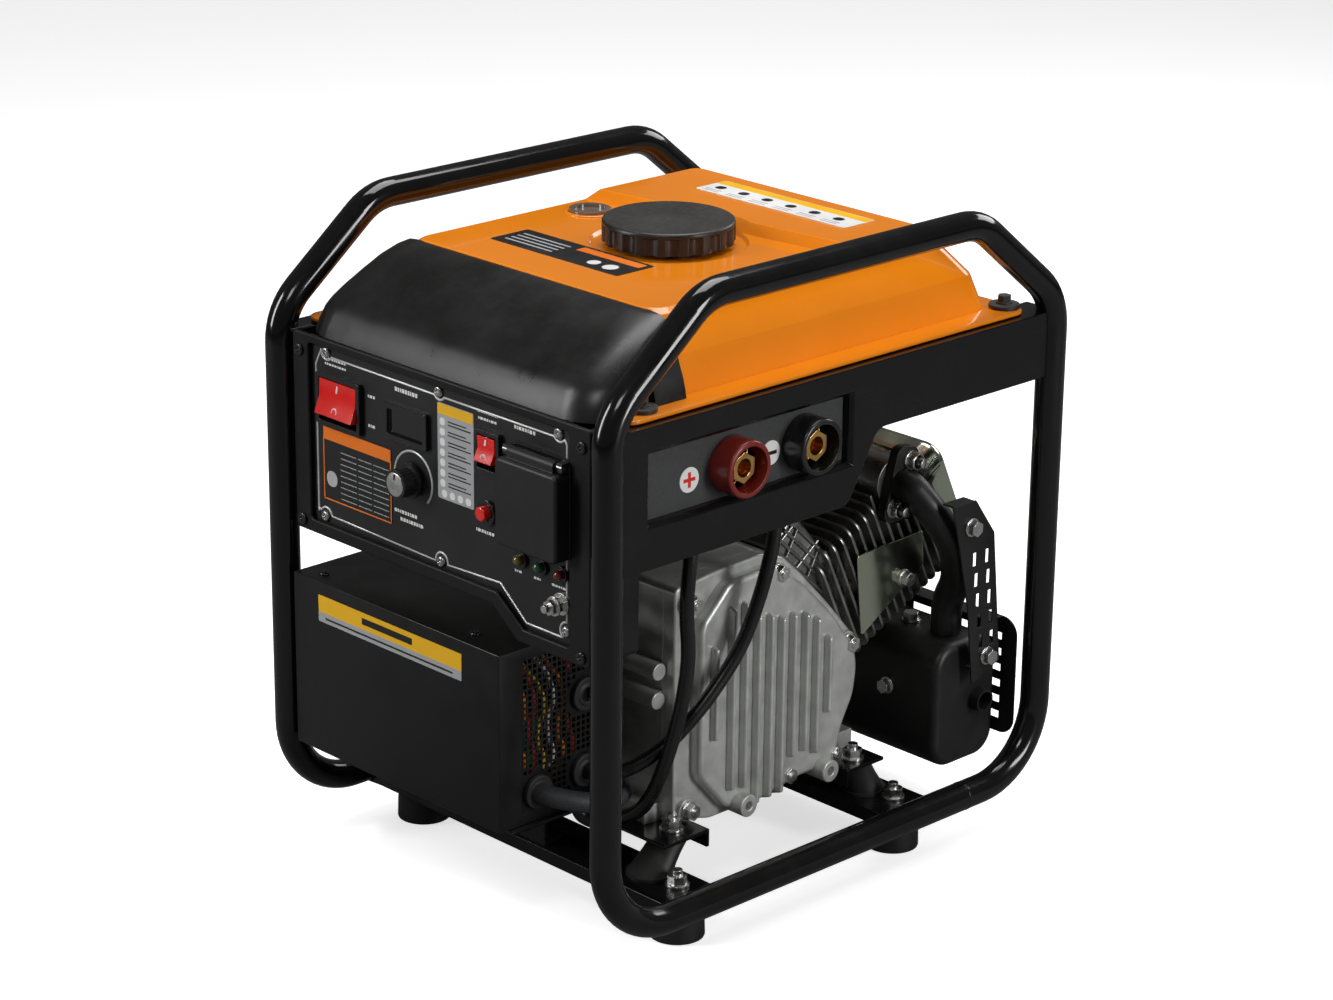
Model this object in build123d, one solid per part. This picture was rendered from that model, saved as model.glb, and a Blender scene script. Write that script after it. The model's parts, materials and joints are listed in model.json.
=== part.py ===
from build123d import *
import math
import os

# Engine driven welder: an inverter generator and welding source in an open tubular frame.
# X is to the right, Y to the back and Z up; the operator stands in front, at -Y.
# The lists of places below are measured from the middle plane of the frame, in millimetres.

# Frame
TUBE_R = 11.0
HOOP_X = 173.6
LEG_Y = 225.0
BASE_Z = 38.2
SHOULDER_Z = 416.8
CROWN_Y = 137.0
CROWN_Z = 487.6
FOOT_BEND = 60.0
CROWN_BEND = 48.0
INNER_X = HOOP_X - TUBE_R
FRONT_BEAM_Y = (-152.0, -103.0)
REAR_BEAM_Y = (74.0, 124.0)
SHEET = 3.0

# Feet and engine mounts
FOOT_X = 140.0
FOOT_Y = (-123.0, 104.0)
FOOT_R = 19.5
MOUNT_X = 112.0
MOUNT_FOOT_Y = (-123.0, 100.0)
MOUNT_HEAD_Y = (-102.0, 88.0)
MOUNT_R = 17.0
BRACKET_Z = 66.0
STUD_R = 3.9
NUT_FLATS = 13.0

# Side rails and the welding sockets
RAIL_X = 178.0
RAIL_TOP = 407.0
RAIL_BOTTOM = 357.0
RAIL_DEEP = 305.5
RAIL_STEP_Y = (4.0, 33.0)
RECESS_Y = (-189.0, 5.0)
RECESS_Z = (338.0, 387.0)
RECESS_X = 170.0
SOCKET_Y = (-107.0, -36.0)
SOCKET_Z = 361.0
SOCKET_R = 20.5
SOCKET_BORE_R = 6.5
INSERT_WALL = 3.5
SOCKET_TIP_X = 190.0
SOCKET_STEM_R = 15.0

# Fuel tank
TANK_TOP = 466.0
TANK_SEAM = 410.0
TANK_CROWN = 474.0
TANK_BOTTOM = 352.0
TANK_SHEET = 1.5
TANK_BOLT_X = 156.0
TANK_BOLT_Y = (-178.0, 190.0)
SEAM_SIZE = (344.0, 405.0)
SEAM_T = 3.0
CAP_XY = (5.0, -8.0)
CAP_R = 48.5
CAP_TOP = 484.0
NECK_R = 38.0
GAUGE_XY = (-96.0, 8.0)
TAP = (-104.0, 96.0, 322.0)
CARB_INLET = (-52.0, 100.0, 282.0)

# Front fascia and the control panel
FASCIA_X = 158.0
FASCIA_Y = -226.0
FASCIA_TOP = 407.5
FASCIA_DEPTH = 46.0
PANEL_Y = -222.0
PANEL_T = 2.0
WALL = 3.0
WELD_SWITCH = (-108.2, 362.5)
WELD_SWITCH_SIZE = (49.0, 39.0)
POWER_SWITCH = (53.0, 365.8)
POWER_SWITCH_SIZE = (26.0, 31.0)
SWITCH_TILT = 12.0
DISPLAY = (-34.5, 363.5)
DISPLAY_SIZE = (47.0, 27.0)
KNOB = (-29.0, 325.0)
KNOB_R = 13.0
RESET = (50.5, 321.6)
OUTLET = (108.0, 345.5)
OUTLET_SIZE = (62.0, 71.0)
OUTLET_FRONT = -240.0
HINGE_Y = -232.0
HINGE_Z = 377.5
LAMPS = ((85.5, 296.6), (106.0, 297.0), (126.5, 297.0))
GROUND = (126.0, 275.5)

# Inverter module
CASE_X = (-157.0, 71.0)
CASE_Y = (-231.0, -135.0)
CASE_Z = (88.0, 223.0)
CASE_SHEET = 1.5
VENT_START = (-208.0, 98.0)
VENT_PITCH = 9.0
VENT_WEB = 3.0
VENT_COLUMNS = 8
VENT_ROWS = 13
GROMMET_YZ = ((-196.0, 111.0), (-151.0, 114.6), (-151.0, 173.5))
GROMMET_BORES = (7.5, 5.25, 5.25)
FLOOR_HOLE = (60.0, -146.0)
FLOOR_HOLE_R = 8.0

# Engine and alternator
CRANK_YZ = (-8.0, 150.0)
COVER_BACK = 96.0
COVER_RIM = 108.0
COVER_FACE = 118.0
RIB_FACE = 124.0
BLOCK_X = (-12.0, 96.0)
CYLINDER_TILT = 25.0
CYLINDER_X = 52.0
CYLINDER_START = 72.0
HEAD_END = 212.0
SHROUD_X = 107.0
SHROUD_T = 1.5
FIN_HALF = (54.0, 52.0)
INTAKE = (-3.0, 108.0, 252.0)
DRUM_X = (-118.0, -12.0)
DRUM_R = 92.0
RECOIL_X = -148.0
GRIP_YZ = (-52.0, 196.0)
SHAFT_R = 12.5
SHAFT_GAP = 0.05

# Exhaust
PORT = (100.0, 140.0, 272.0)
PIPE_R = 12.0
MUFFLER_X = (-5.0, 145.0)
MUFFLER_Y = (143.0, 212.0)
MUFFLER_Z = (48.0, 148.0)
MUFFLER_INLET = (122.0, 178.0)
GUARD_X = 154.0
GUARD_T = 1.5
GUARD_BOLTS = ((164.0, 245.0), (187.0, 136.0))

# Cables
CABLE_R = 5.25
SLEEVE_R = 7.5
RUN_SHARE = 0.45

# Outline of the crankcase in (y, z), and the ribs of its cover as (y, low z, high z)
COVER_OUTLINE = [
    (-97, 66), (-80, 66), (-60, 60), (-20, 60), (20, 66), (66, 66), (73, 84), (75, 99), (88, 121), (91, 144),
    (89, 166), (60, 199), (30, 230), (12, 246), (-10, 254), (-60, 252), (-97, 248),
]
COVER_BOLTS = [(78.7, 163), (63.5, 78), (14.7, 75), (-86, 76), (-86, 236), (2, 238)]
RIBS = [
    (-68, 128, 200), (-51, 84, 226), (-38, 82, 227), (-25, 66, 214), (-12, 67, 211), (0, 67, 206),
    (12, 92, 206), (25, 93, 203), (37, 88, 196), (50, 117, 178),
]

# Places the cables and the exhaust pipe run through, in order
POSITIVE_ROUTE = [
    (144, -107, 361), (128, -107, 361), (132, -109, 334), (142, -115, 292), (141, -119, 250),
    (139, -113, 210), (137, -118, 172), (131, -126, 134), (121, -129, 106), (106, -128, 86),
    (86, -130, 74), (70, -138, 68), (60, -146, 74), (60, -146, 92),
]
NEGATIVE_ROUTE = [
    (144, -36, 361), (128, -36, 361), (134, -34, 334), (142, -30, 290), (139, -40, 245), (134, -56, 200),
    (129, -88, 164), (122, -118, 138), (106, -142, 121), (84, -151, 114.6), (66, -151, 114.6),
]
HARNESS_ROUTE = [
    (66, -196, 111), (84, -196, 111), (98, -182, 107), (104, -160, 101), (98, -138, 99), (80, -122, 99),
    (40, -119, 99), (0, -119, 101), (-22, -117, 108), (-31, -103, 118), (-31, -86, 118),
]
EXHAUST_ROUTE = [
    (104, 140, 272), (116, 140, 272), (132, 149, 252), (140, 164, 226), (133, 176, 194), (122, 178, 174),
    (122, 178, MUFFLER_Z[1]),
]

# The row's origin: on the floor, under the middle of the whole object's box.
ORIGIN_X = (SOCKET_TIP_X - HOOP_X - TUBE_R) / 2
ORIGIN_Y = (LEG_Y + TUBE_R + OUTLET_FRONT) / 2

BOTTOM = (Align.CENTER, Align.CENTER, Align.MIN)


# ---- shared shapes ----

def block(x0, x1, y0, y1, z0, z1):
    """Box between two opposite corners."""
    centre = Pos((x0 + x1) / 2, (y0 + y1) / 2, (z0 + z1) / 2)
    return centre * Box(x1 - x0, y1 - y0, z1 - z0)


def rod(start, end, radius):
    """Round bar from one point to another."""
    line = Vector(*end) - Vector(*start)
    return Plane(origin=start, z_dir=line) * Cylinder(radius, line.length, align=BOTTOM)


def side_prism(outline, x0, x1, corner=0.0):
    """Plate of an outline of (y, z) points, from x0 to x1."""
    face = Polygon(*outline, align=None)
    if corner:
        face = fillet(face.vertices(), corner)
    return extrude(Plane.YZ.offset(x0) * face, x1 - x0, dir=(1, 0, 0))


def front_prism(outline, y0, y1, corner=0.0):
    """Plate of an outline of (x, z) points, from y0 to y1."""
    face = Polygon(*outline, align=None)
    if corner:
        face = fillet(face.vertices(), corner)
    return extrude(Plane.XZ.offset(-y0) * face, y1 - y0, dir=(0, 1, 0))


def front_slab(centre, size, y0, y1, corner):
    """Rounded rectangle about an (x, z) centre, from y0 to y1."""
    face = RectangleRounded(size[0], size[1], corner)
    plane = Plane(origin=(centre[0], y0, centre[1]), x_dir=(1, 0, 0), z_dir=(0, -1, 0))
    return extrude(plane * face, y1 - y0, dir=(0, 1, 0))


def hex_bar(start, direction, flats, length):
    """Hexagon bar along a direction."""
    face = RegularPolygon(flats / 2, 6, major_radius=False)
    return extrude(Plane(origin=start, z_dir=direction) * face, length, dir=direction)


def flange_nut(base, direction=(0, 0, 1), flats=NUT_FLATS):
    """Flange nut with its stud's rounded end standing through it."""
    axis = Vector(*direction)
    seat = Vector(*base)
    washer = rod(seat, seat + axis * 2.0, flats * 0.68)
    nut = hex_bar(seat + axis * 1.9, direction, flats, 6.6)
    tip = rod(seat, seat + axis * 12.5, STUD_R)
    return washer + nut + tip


def bolt_head(base, direction, flats=10.0, head=5.5, washer=1.6):
    """Hexagon bolt head on its washer face, standing on a surface."""
    axis = Vector(*direction)
    seat = Vector(*base)
    disc = rod(seat, seat + axis * washer, flats * 0.66)
    hexagon = hex_bar(seat + axis * (washer - 0.1), direction, flats, head)
    return disc + hexagon


def pan_screw(base, direction, radius, height):
    """Round-headed screw with a cross recess."""
    axis = Vector(*direction)
    head = rod(base, Vector(*base) + axis * height, radius)
    crown = head.edges().filter_by(GeomType.CIRCLE).sort_by(lambda e: e.center().dot(axis))[-1]
    head = fillet(crown, height * 0.6)
    top = Vector(*base) + axis * height
    for turn in (0, 90):
        slot = Plane(origin=top, z_dir=axis) * Rot(0, 0, turn) * Box(radius, radius * 0.26, height * 0.9)
        head -= slot
    return head


def group(solids):
    """Several separate solids kept as one node."""
    return Compound(children=list(solids))


def lead(points, radius):
    """Cable of straight runs joined by arcs as large as the runs allow."""
    places = [Vector(*p) for p in points]
    radii = []
    for before, here, after in zip(places, places[1:], places[2:]):
        run_in = here - before
        run_out = after - here
        half_turn = math.radians(run_in.get_angle(run_out)) / 2
        radii.append(RUN_SHARE * min(run_in.length, run_out.length) / math.tan(half_turn))
    print("lead radii", [round(r) for r in radii])
    path = FilletPolyline(*points, radius=radii)
    section = Plane(origin=points[0], z_dir=places[1] - places[0]) * Circle(radius)
    tube = sweep(section, path=path)
    print("  volume ratio", round(tube.volume / (math.pi * radius**2 * path.length), 4))
    return tube


# ---- frame ----

def hoop(x):
    """Closed hoop of bent tube: base rail, two legs and the carrying rail on top."""
    rear_half = [
        (x, 0, BASE_Z),
        (x, LEG_Y, BASE_Z),
        (x, LEG_Y, SHOULDER_Z),
        (x, CROWN_Y, CROWN_Z),
        (x, 0, CROWN_Z),
    ]
    path = FilletPolyline(*rear_half, radius=[FOOT_BEND, CROWN_BEND, CROWN_BEND])
    section = Plane(origin=rear_half[0], z_dir=(0, 1, 0)) * Circle(TUBE_R)
    half = sweep(section, path=path)
    return half + mirror(half, about=Plane.XZ)


def cross_beam(y_span, hoops):
    """Channel of folded sheet between the two base rails, coped to the tubes."""
    front, back = y_span
    reach = HOOP_X
    lip = 11.0
    beam = block(-reach, reach, front, back, BASE_Z - SHEET, BASE_Z)
    for y in (front, back - SHEET):
        beam += block(-reach, reach, y, y + SHEET, BASE_Z - lip, BASE_Z)
    y = FOOT_Y[0] if front < 0 else FOOT_Y[1]
    for x in (-FOOT_X, FOOT_X):
        beam -= Pos(x, y, 0) * Cylinder(FOOT_R + 1.6, BASE_Z - SHEET, align=BOTTOM)
        beam -= rod((x, y, 0), (x, y, BASE_Z + 1), STUD_R)
    return beam - hoops


def side_rail(side, hoops):
    """Folded sheet rail between a front leg and a rear leg."""
    inner = RAIL_X - SHEET
    low = RAIL_DEEP if side > 0 else RAIL_BOTTOM
    outline = [
        (-LEG_Y, low),
        (RAIL_STEP_Y[0], low),
        (RAIL_STEP_Y[1], RAIL_BOTTOM),
        (LEG_Y, RAIL_BOTTOM),
        (LEG_Y, RAIL_TOP),
        (-LEG_Y, RAIL_TOP),
    ]
    if side < 0:
        outline = [(-LEG_Y, low), (LEG_Y, low), (LEG_Y, RAIL_TOP), (-LEG_Y, RAIL_TOP)]
    plate = side_prism(outline, inner, RAIL_X)
    if side > 0:
        edges = plate.edges().filter_by(Axis.X).filter_by(lambda e: -10 < e.center().Y < 50)
        plate = fillet(edges, 14)
    flange = 30.0
    behind_fascia = FASCIA_Y + FASCIA_DEPTH + 0.3
    plate += block(RAIL_X - flange, inner + 1, behind_fascia, LEG_Y, RAIL_TOP - SHEET, RAIL_TOP)
    plate += block(FASCIA_X + 0.3, inner + 1, -LEG_Y, behind_fascia + 1, RAIL_TOP - SHEET, RAIL_TOP)
    plate += block(RAIL_X - 14, inner + 1, RAIL_STEP_Y[1] + 14, LEG_Y, RAIL_BOTTOM, RAIL_BOTTOM + SHEET)
    if side > 0:
        plate -= block(inner - 1, RAIL_X + 1, *RECESS_Y, *RECESS_Z)
        plate += recess_tray()
    else:
        plate = mirror(plate, about=Plane.YZ)
    return plate - hoops


def recess_tray():
    """Floor and walls of the recess that holds the socket plate."""
    wall = 2.0
    y0, y1 = RECESS_Y
    z0, z1 = RECESS_Z
    tray = block(RECESS_X - 2 * wall, RAIL_X - 1, y0 - wall, y1 + wall, z0 - wall, z1 + wall)
    tray -= block(RECESS_X - wall, RAIL_X, y0, y1, z0, z1)
    for y in SOCKET_Y:
        tray -= rod((RECESS_X - 9, y, SOCKET_Z), (RAIL_X, y, SOCKET_Z), SOCKET_STEM_R + 0.5)
    return tray


# ---- feet and engine mounts ----

def foot_places():
    """Places of the four feet in x and y."""
    return [(x, y) for x in (-FOOT_X, FOOT_X) for y in FOOT_Y]


def rubber_feet():
    """Four round rubber feet under the cross beams."""
    feet = []
    for x, y in foot_places():
        foot = Pos(x, y, 0) * Cone(FOOT_R + 1, FOOT_R, BASE_Z - SHEET, align=BOTTOM)
        feet.append(foot - Pos(x, y, 4) * Cylinder(STUD_R, BASE_Z, align=BOTTOM))
    return group(feet)


def flange_nuts():
    """Studs and flange nuts of the four feet and the four engine mounts."""
    nuts = []
    for x, y in foot_places():
        nuts.append(flange_nut((x, y, BASE_Z)) + rod((x, y, 5), (x, y, BASE_Z + 1), STUD_R - 0.1))
    for _, (head_x, head_y) in mount_places():
        nuts.append(flange_nut((head_x, head_y, BRACKET_Z)))
    return group(nuts)


def mount_places():
    """Foot and head of each leaning rubber engine mount."""
    return [((x, foot_y), (x, head_y)) for x in (-MOUNT_X, MOUNT_X)
            for foot_y, head_y in zip(MOUNT_FOOT_Y, MOUNT_HEAD_Y)]


def engine_mounts():
    """Four rubber mounts that lean towards the middle of the engine."""
    mounts = []
    for (x, foot_y), (_, head_y) in mount_places():
        disc = Pos(x, foot_y, BASE_Z) * Cylinder(MOUNT_R + 1, 2.2, align=BOTTOM)
        low = Plane(origin=(x, foot_y, BASE_Z + 2)) * Circle(MOUNT_R)
        waist = Plane(origin=(x, (foot_y * 2 + head_y) / 3, BASE_Z + 10)) * Circle(MOUNT_R - 2)
        high = Plane(origin=(x, head_y, BRACKET_Z - SHEET)) * Circle(MOUNT_R - 3)
        mounts.append(disc + loft([low, waist, high]))
    return group(mounts)


def mount_brackets():
    """Front and rear steel straps under the engine, one pair of mounts each."""
    lip = 14.0
    reach = MOUNT_X + 18.0
    front = block(-reach, reach, -126, -81, BRACKET_Z - SHEET, BRACKET_Z)
    front += block(-reach, reach, -81 - SHEET, -81, BRACKET_Z - lip, BRACKET_Z)
    reach = MOUNT_X + 14.0
    rear = block(-reach, reach, 68, 108, BRACKET_Z - SHEET, BRACKET_Z)
    rear += block(-reach, reach, 68, 68 + SHEET, BRACKET_Z - lip, BRACKET_Z)
    return group([front, rear])


# ---- fuel tank ----

def tank_shell(shrink):
    """Solid of the tank, or of its inside when shrunk by the sheet."""
    upper = lofted_body([
        (TANK_SEAM, 151.0, -151.0, 183.0, 14.0),
        (TANK_SEAM + 26.0, 143.0, -147.0, 175.0, 16.0),
        (TANK_TOP - 11.0, 134.0, -142.0, 158.0, 18.0),
        (TANK_TOP - 3.0, 130.0, -139.0, 150.0, 18.0),
        (TANK_TOP, 124.0, -137.0, 146.0, 18.0),
    ], shrink)
    step = lofted_body([
        (TANK_TOP - 3.0, 127.0, 42.0, 149.0, 18.0),
        (TANK_CROWN - 3.0, 120.0, 50.0, 147.0, 18.0),
        (TANK_CROWN, 114.0, 58.0, 141.0, 16.0),
    ], shrink)
    lower_face = RectangleRounded(232 - 2 * shrink, 278 - 2 * shrink, 20)
    lower = extrude(Pos(0, 11, TANK_BOTTOM + shrink) * lower_face, TANK_SEAM + 5 - TANK_BOTTOM)
    return upper + step + lower


def lofted_body(levels, shrink):
    """Body through rounded rectangles given as z, half width, front, back and corner radius."""
    rings = []
    for index, (z, half_x, front, back, corner) in enumerate(levels):
        drop = shrink if index else 0.0
        face = RectangleRounded(2 * (half_x - shrink), back - front - 2 * shrink, corner - shrink)
        rings.append(Pos(0, (front + back) / 2, z - drop) * face)
    return loft(rings, ruled=True)


def fuel_tank():
    """Pressed steel tank with its seam flange, filler neck and gauge seat."""
    cap_x, cap_y = CAP_XY
    tank = tank_shell(0) + seam_flange(0) - tank_shell(TANK_SHEET)
    tank += Pos(cap_x, cap_y, TANK_TOP - 30) * Cylinder(NECK_R, 33, align=BOTTOM)
    tank -= Pos(cap_x, cap_y, TANK_TOP - 40) * Cylinder(NECK_R - 2, 60, align=BOTTOM)
    gauge_x, gauge_y = GAUGE_XY
    tank += Pos(gauge_x, gauge_y, TANK_TOP - 6) * Cylinder(20, 7.0, align=BOTTOM)
    tank -= Pos(gauge_x, gauge_y, TANK_TOP - 8) * Cylinder(16.2, 20, align=BOTTOM)
    tap_x, tap_y, _ = TAP
    return tank + rod((tap_x, tap_y, TANK_BOTTOM - 8), (tap_x, tap_y, TANK_BOTTOM + 1), 8)


def seam_flange(grow):
    """Flange round the tank where its two halves are welded together."""
    size_x, size_y = SEAM_SIZE
    face = RectangleRounded(size_x + 2 * grow, size_y + 2 * grow, 12)
    return extrude(Pos(0, -2.5, TANK_SEAM - 2 - grow) * face, SEAM_T + 2 * grow)


def fuel_cap():
    """Scalloped screw cap."""
    cap_x, cap_y = CAP_XY
    skirt_z = TANK_TOP + 1.0
    cap = Pos(cap_x, cap_y, skirt_z) * Cylinder(CAP_R, CAP_TOP - skirt_z, align=BOTTOM)
    cap = fillet(cap.edges().filter_by(GeomType.CIRCLE).sort_by(Axis.Z)[-1], 2.5)
    scallops = 18
    for step in range(scallops):
        angle = 2 * math.pi * step / scallops
        x = cap_x + (CAP_R + 5.0) * math.cos(angle)
        y = cap_y + (CAP_R + 5.0) * math.sin(angle)
        cap -= Pos(x, y, skirt_z - 1) * Cylinder(7.5, CAP_TOP - skirt_z - 3, align=BOTTOM)
    inside = Pos(cap_x, cap_y, skirt_z - 1) * Cylinder(NECK_R + 0.8, CAP_TOP - skirt_z - 3, align=BOTTOM)
    plug = Pos(cap_x, cap_y, skirt_z - 8) * Cylinder(NECK_R - 3, 22, align=BOTTOM)
    return cap - inside + plug


def fuel_gauge():
    """Float gauge: a dial body under a clear lens, with its float arm inside."""
    x, y = GAUGE_XY
    body = Pos(x, y, TANK_TOP - 7) * Cylinder(16, 7, align=BOTTOM)
    bezel = Pos(x, y, TANK_TOP) * (Cylinder(15.8, 2.4, align=BOTTOM) - Cylinder(12, 3, align=BOTTOM))
    stem = rod((x, y, TANK_TOP - 52), (x, y, TANK_TOP - 6), 2)
    float_block = block(x - 6, x + 22, y - 7, y + 7, TANK_TOP - 60, TANK_TOP - 50)
    return body + bezel + stem + float_block


def tank_bolts():
    """Bolt between two rubber washers at each corner of the tank's flange."""
    bolts = []
    for x in (-TANK_BOLT_X, TANK_BOLT_X):
        for y in TANK_BOLT_Y:
            top = TANK_SEAM - 2 + SEAM_T
            washer = Pos(x, y, top) * Cylinder(11.5, 3, align=BOTTOM)
            bolts.append(washer + bolt_head((x, y, top + 2.9), (0, 0, 1), flats=9, head=5))
            bolts.append(Pos(x, y, RAIL_TOP) * Cylinder(11.5, TANK_SEAM - 2 - RAIL_TOP, align=BOTTOM))
    return group(bolts)


def fuel_tap():
    """Tap body under the tank, with its outlet spigot."""
    x, y, z = TAP
    body = block(x - 11, x + 11, y - 9, y + 9, z - 12, z + 12)
    body += rod((x, y, z + 10), (x, y, TANK_BOTTOM - 8), 7)
    body += rod((x, y - 9, z), (x, y - 24, z), 3.5)
    return body - rod((x - 12, y, z), (x + 2, y, z), 4.06)


def fuel_tap_lever():
    """Quarter-turn lever on the tap's left face."""
    x, y, z = TAP
    face = x - 11.4
    lever = rod((face, y, z), (face - 6, y, z), 8)
    lever += rod((face - 1, y, z), (x + 1, y, z), 4)
    return lever + block(face - 6, face - 1, y - 4, y + 4, z - 18, z)


def fuel_hose():
    """Hose from the tap to the carburettor."""
    x, y, z = TAP
    inlet_x, inlet_y, inlet_z = CARB_INLET
    points = [
        (x, y - 24, z),
        (x, y - 42, z),
        (x + 10, y - 54, z - 16),
        (x + 32, y - 52, z - 22),
        (x + 50, y - 30, z - 22),
        (inlet_x, inlet_y, inlet_z + 18),
        (inlet_x, inlet_y, inlet_z),
    ]
    return lead(points, 4.0)


# ---- front fascia and its controls ----

def stepped_outline(half_x, top, left_low, right_low, step):
    """Outline in x and z of a plate whose lower edge steps down on the right."""
    return [
        (-half_x, left_low),
        (step[0], left_low),
        (step[1], right_low),
        (half_x, right_low),
        (half_x, top),
        (-half_x, top),
    ]


def hood(shrink):
    """Sloping top of the fascia, with cut corners on both sides."""
    levels = [
        (FASCIA_TOP - 1, FASCIA_X, 133.0, -222.0, -196.0),
        (FASCIA_TOP + 22.5, FASCIA_X - 6, 129.0, -212.0, -190.0),
        (TANK_TOP - 9, 141.0, 121.0, -166.0, -158.0),
        (TANK_TOP - 1, 131.0, 112.0, -141.0, -139.5),
    ]
    rings = []
    for z, side, front_half, front, corner in levels:
        side -= shrink
        front += shrink
        corner += shrink
        back = -137.0 - shrink * 0.5
        if front > back - 0.5:
            front = back - 1.0
        if corner > back - 0.3:
            corner = back - 0.6
        outline = [
            (-front_half, front),
            (front_half, front),
            (side, corner),
            (side, back),
            (-side, back),
            (-side, corner),
        ]
        rings.append(Pos(0, 0, z - shrink * 0.9) * Polygon(*outline, align=None))
    return loft(rings, ruled=True)


def fascia():
    """Moulded front: a frame round the control panel under a sloping hood."""
    lower_edge = stepped_outline(FASCIA_X, FASCIA_TOP, 257, 237, (58, 84))
    shell = front_prism(lower_edge, FASCIA_Y, FASCIA_Y + FASCIA_DEPTH, corner=4)
    inner_edge = stepped_outline(FASCIA_X - WALL, FASCIA_TOP + 5, 260, 240, (57, 83))
    shell -= front_prism(inner_edge, FASCIA_Y + WALL, FASCIA_Y + FASCIA_DEPTH + 1)
    window = panel_outline(-1.0)
    shell -= front_prism(window, FASCIA_Y - 1, FASCIA_Y + WALL + 1, corner=3)
    gap = 0.6
    outlet_room = (OUTLET_SIZE[0] + gap, OUTLET_SIZE[1] + gap)
    shell -= front_slab(OUTLET, outlet_room, FASCIA_Y - 1, FASCIA_Y + WALL + 1, 5)
    shell += hood(0) - hood(WALL)
    behind = FASCIA_Y + FASCIA_DEPTH
    shell -= block(-RAIL_X, RAIL_X, behind, behind + 60, RAIL_TOP - 10, RAIL_TOP + 0.3)
    for x in (-TANK_BOLT_X, TANK_BOLT_X):
        shell -= Pos(x, TANK_BOLT_Y[0], RAIL_TOP) * Cylinder(12.5, 22, align=BOTTOM)
    return shell - seam_flange(gap) - tank_shell(-gap)


def panel_outline(grow):
    """Outline of the control panel in x and z."""
    return [
        (-142 - grow, 266 - grow),
        (62 - grow * 0.4, 266 - grow),
        (90 - grow * 0.4, 246 - grow),
        (138 + grow, 246 - grow),
        (138 + grow, 402 + grow),
        (-142 - grow, 402 + grow),
    ]


def control_panel():
    """Sheet panel behind the fascia's frame, cut out for the controls."""
    back = PANEL_Y + PANEL_T
    panel = front_prism(panel_outline(4), PANEL_Y, back, corner=3)
    cuts = [
        front_slab(WELD_SWITCH, cutout(WELD_SWITCH_SIZE), PANEL_Y - 1, back + 1, 1),
        front_slab(POWER_SWITCH, cutout(POWER_SWITCH_SIZE), PANEL_Y - 1, back + 1, 1),
        front_slab(DISPLAY, cutout(DISPLAY_SIZE), PANEL_Y - 1, back + 1, 1),
        front_slab(OUTLET, (46, 46), PANEL_Y - 1, back + 1, 4),
        front_bar(KNOB, PANEL_Y - 1, back + 1, 5.2),
        front_bar(RESET, PANEL_Y - 1, back + 1, 8.2),
        front_bar(GROUND, PANEL_Y - 1, back + 1, 3.2),
    ]
    cuts += [front_bar(place, PANEL_Y - 1, back + 1, 4.1) for place in LAMPS]
    for cut in cuts:
        panel -= cut
    return panel


def cutout(size):
    """Panel cut-out behind a bezel of the given size."""
    return (size[0] - 4, size[1] - 4)


def front_bar(place, y0, y1, radius):
    """Round bar along Y at an (x, z) place."""
    return rod((place[0], y0, place[1]), (place[0], y1, place[1]), radius)


def cover_screws():
    """Screws of the control panel, the fascia and the inverter's cover."""
    bright = [(-123.6, 396.8), (0, 396.8), (123.5, 396.8), (-127.7, 271.8), (1, 271.8), (131.0, 256.5)]
    dark = [(-150, 394), (150, 394), (-150, 265), (150, 244)]
    screws = [pan_screw((x, PANEL_Y, z), (0, -1, 0), 4.0, 2.4) for x, z in bright]
    screws += [pan_screw((x, FASCIA_Y, z), (0, -1, 0), 4.6, 2.0) for x, z in dark]
    case_places = [(-136, -219), (29, -216), (-136, -146), (50, -146)]
    screws += [pan_screw((x, y, CASE_Z[1]), (0, 0, 1), 3.6, 2.2) for x, y in case_places]
    return group(screws)


def switch_bezels():
    """Bodies of the welding switch and the engine switch."""
    return group([
        switch_bezel(WELD_SWITCH, WELD_SWITCH_SIZE),
        switch_bezel(POWER_SWITCH, POWER_SWITCH_SIZE),
    ])


def switch_bezel(place, size):
    """Hollow body and flange of a rocker switch."""
    opening = (size[0] - 7, size[1] - 7)
    bezel = front_slab(place, size, PANEL_Y - 4, PANEL_Y, 2)
    bezel += front_slab(place, cutout(size), PANEL_Y - 1, PANEL_Y + 22, 0.8)
    return bezel - front_slab(place, opening, PANEL_Y - 6, PANEL_Y + 20, 0.8)


def switch_rocker(place, size):
    """Rocker cap that tips about a pivot across the switch."""
    x, z = place
    half_w = (size[0] - 8) / 2
    half_h = (size[1] - 11) / 2
    pivot_y = PANEL_Y + 6
    front = PANEL_Y - 6.5
    outline = [
        (front, half_h - 1),
        (front + 2.2, 0),
        (front, -half_h + 1),
        (pivot_y, -half_h + 2.0),
        (pivot_y + 4, -5),
        (pivot_y + 4, 5),
        (pivot_y, half_h - 2.0),
    ]
    cap = side_prism(outline, -half_w, half_w)
    tipped = Pos(0, pivot_y, 0) * Rot(-SWITCH_TILT, 0, 0) * Pos(0, -pivot_y, 0) * cap
    return Pos(x, 0, z) * tipped


def current_display():
    """Digital current meter behind a raised bezel."""
    bezel = front_slab(DISPLAY, DISPLAY_SIZE, PANEL_Y - 3.5, PANEL_Y, 2)
    body = front_slab(DISPLAY, cutout(DISPLAY_SIZE), PANEL_Y - 1, PANEL_Y + 18, 0.5)
    recess = front_slab(DISPLAY, (DISPLAY_SIZE[0] - 9, DISPLAY_SIZE[1] - 9), PANEL_Y - 5, PANEL_Y - 1, 1)
    return bezel + body - recess


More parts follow.
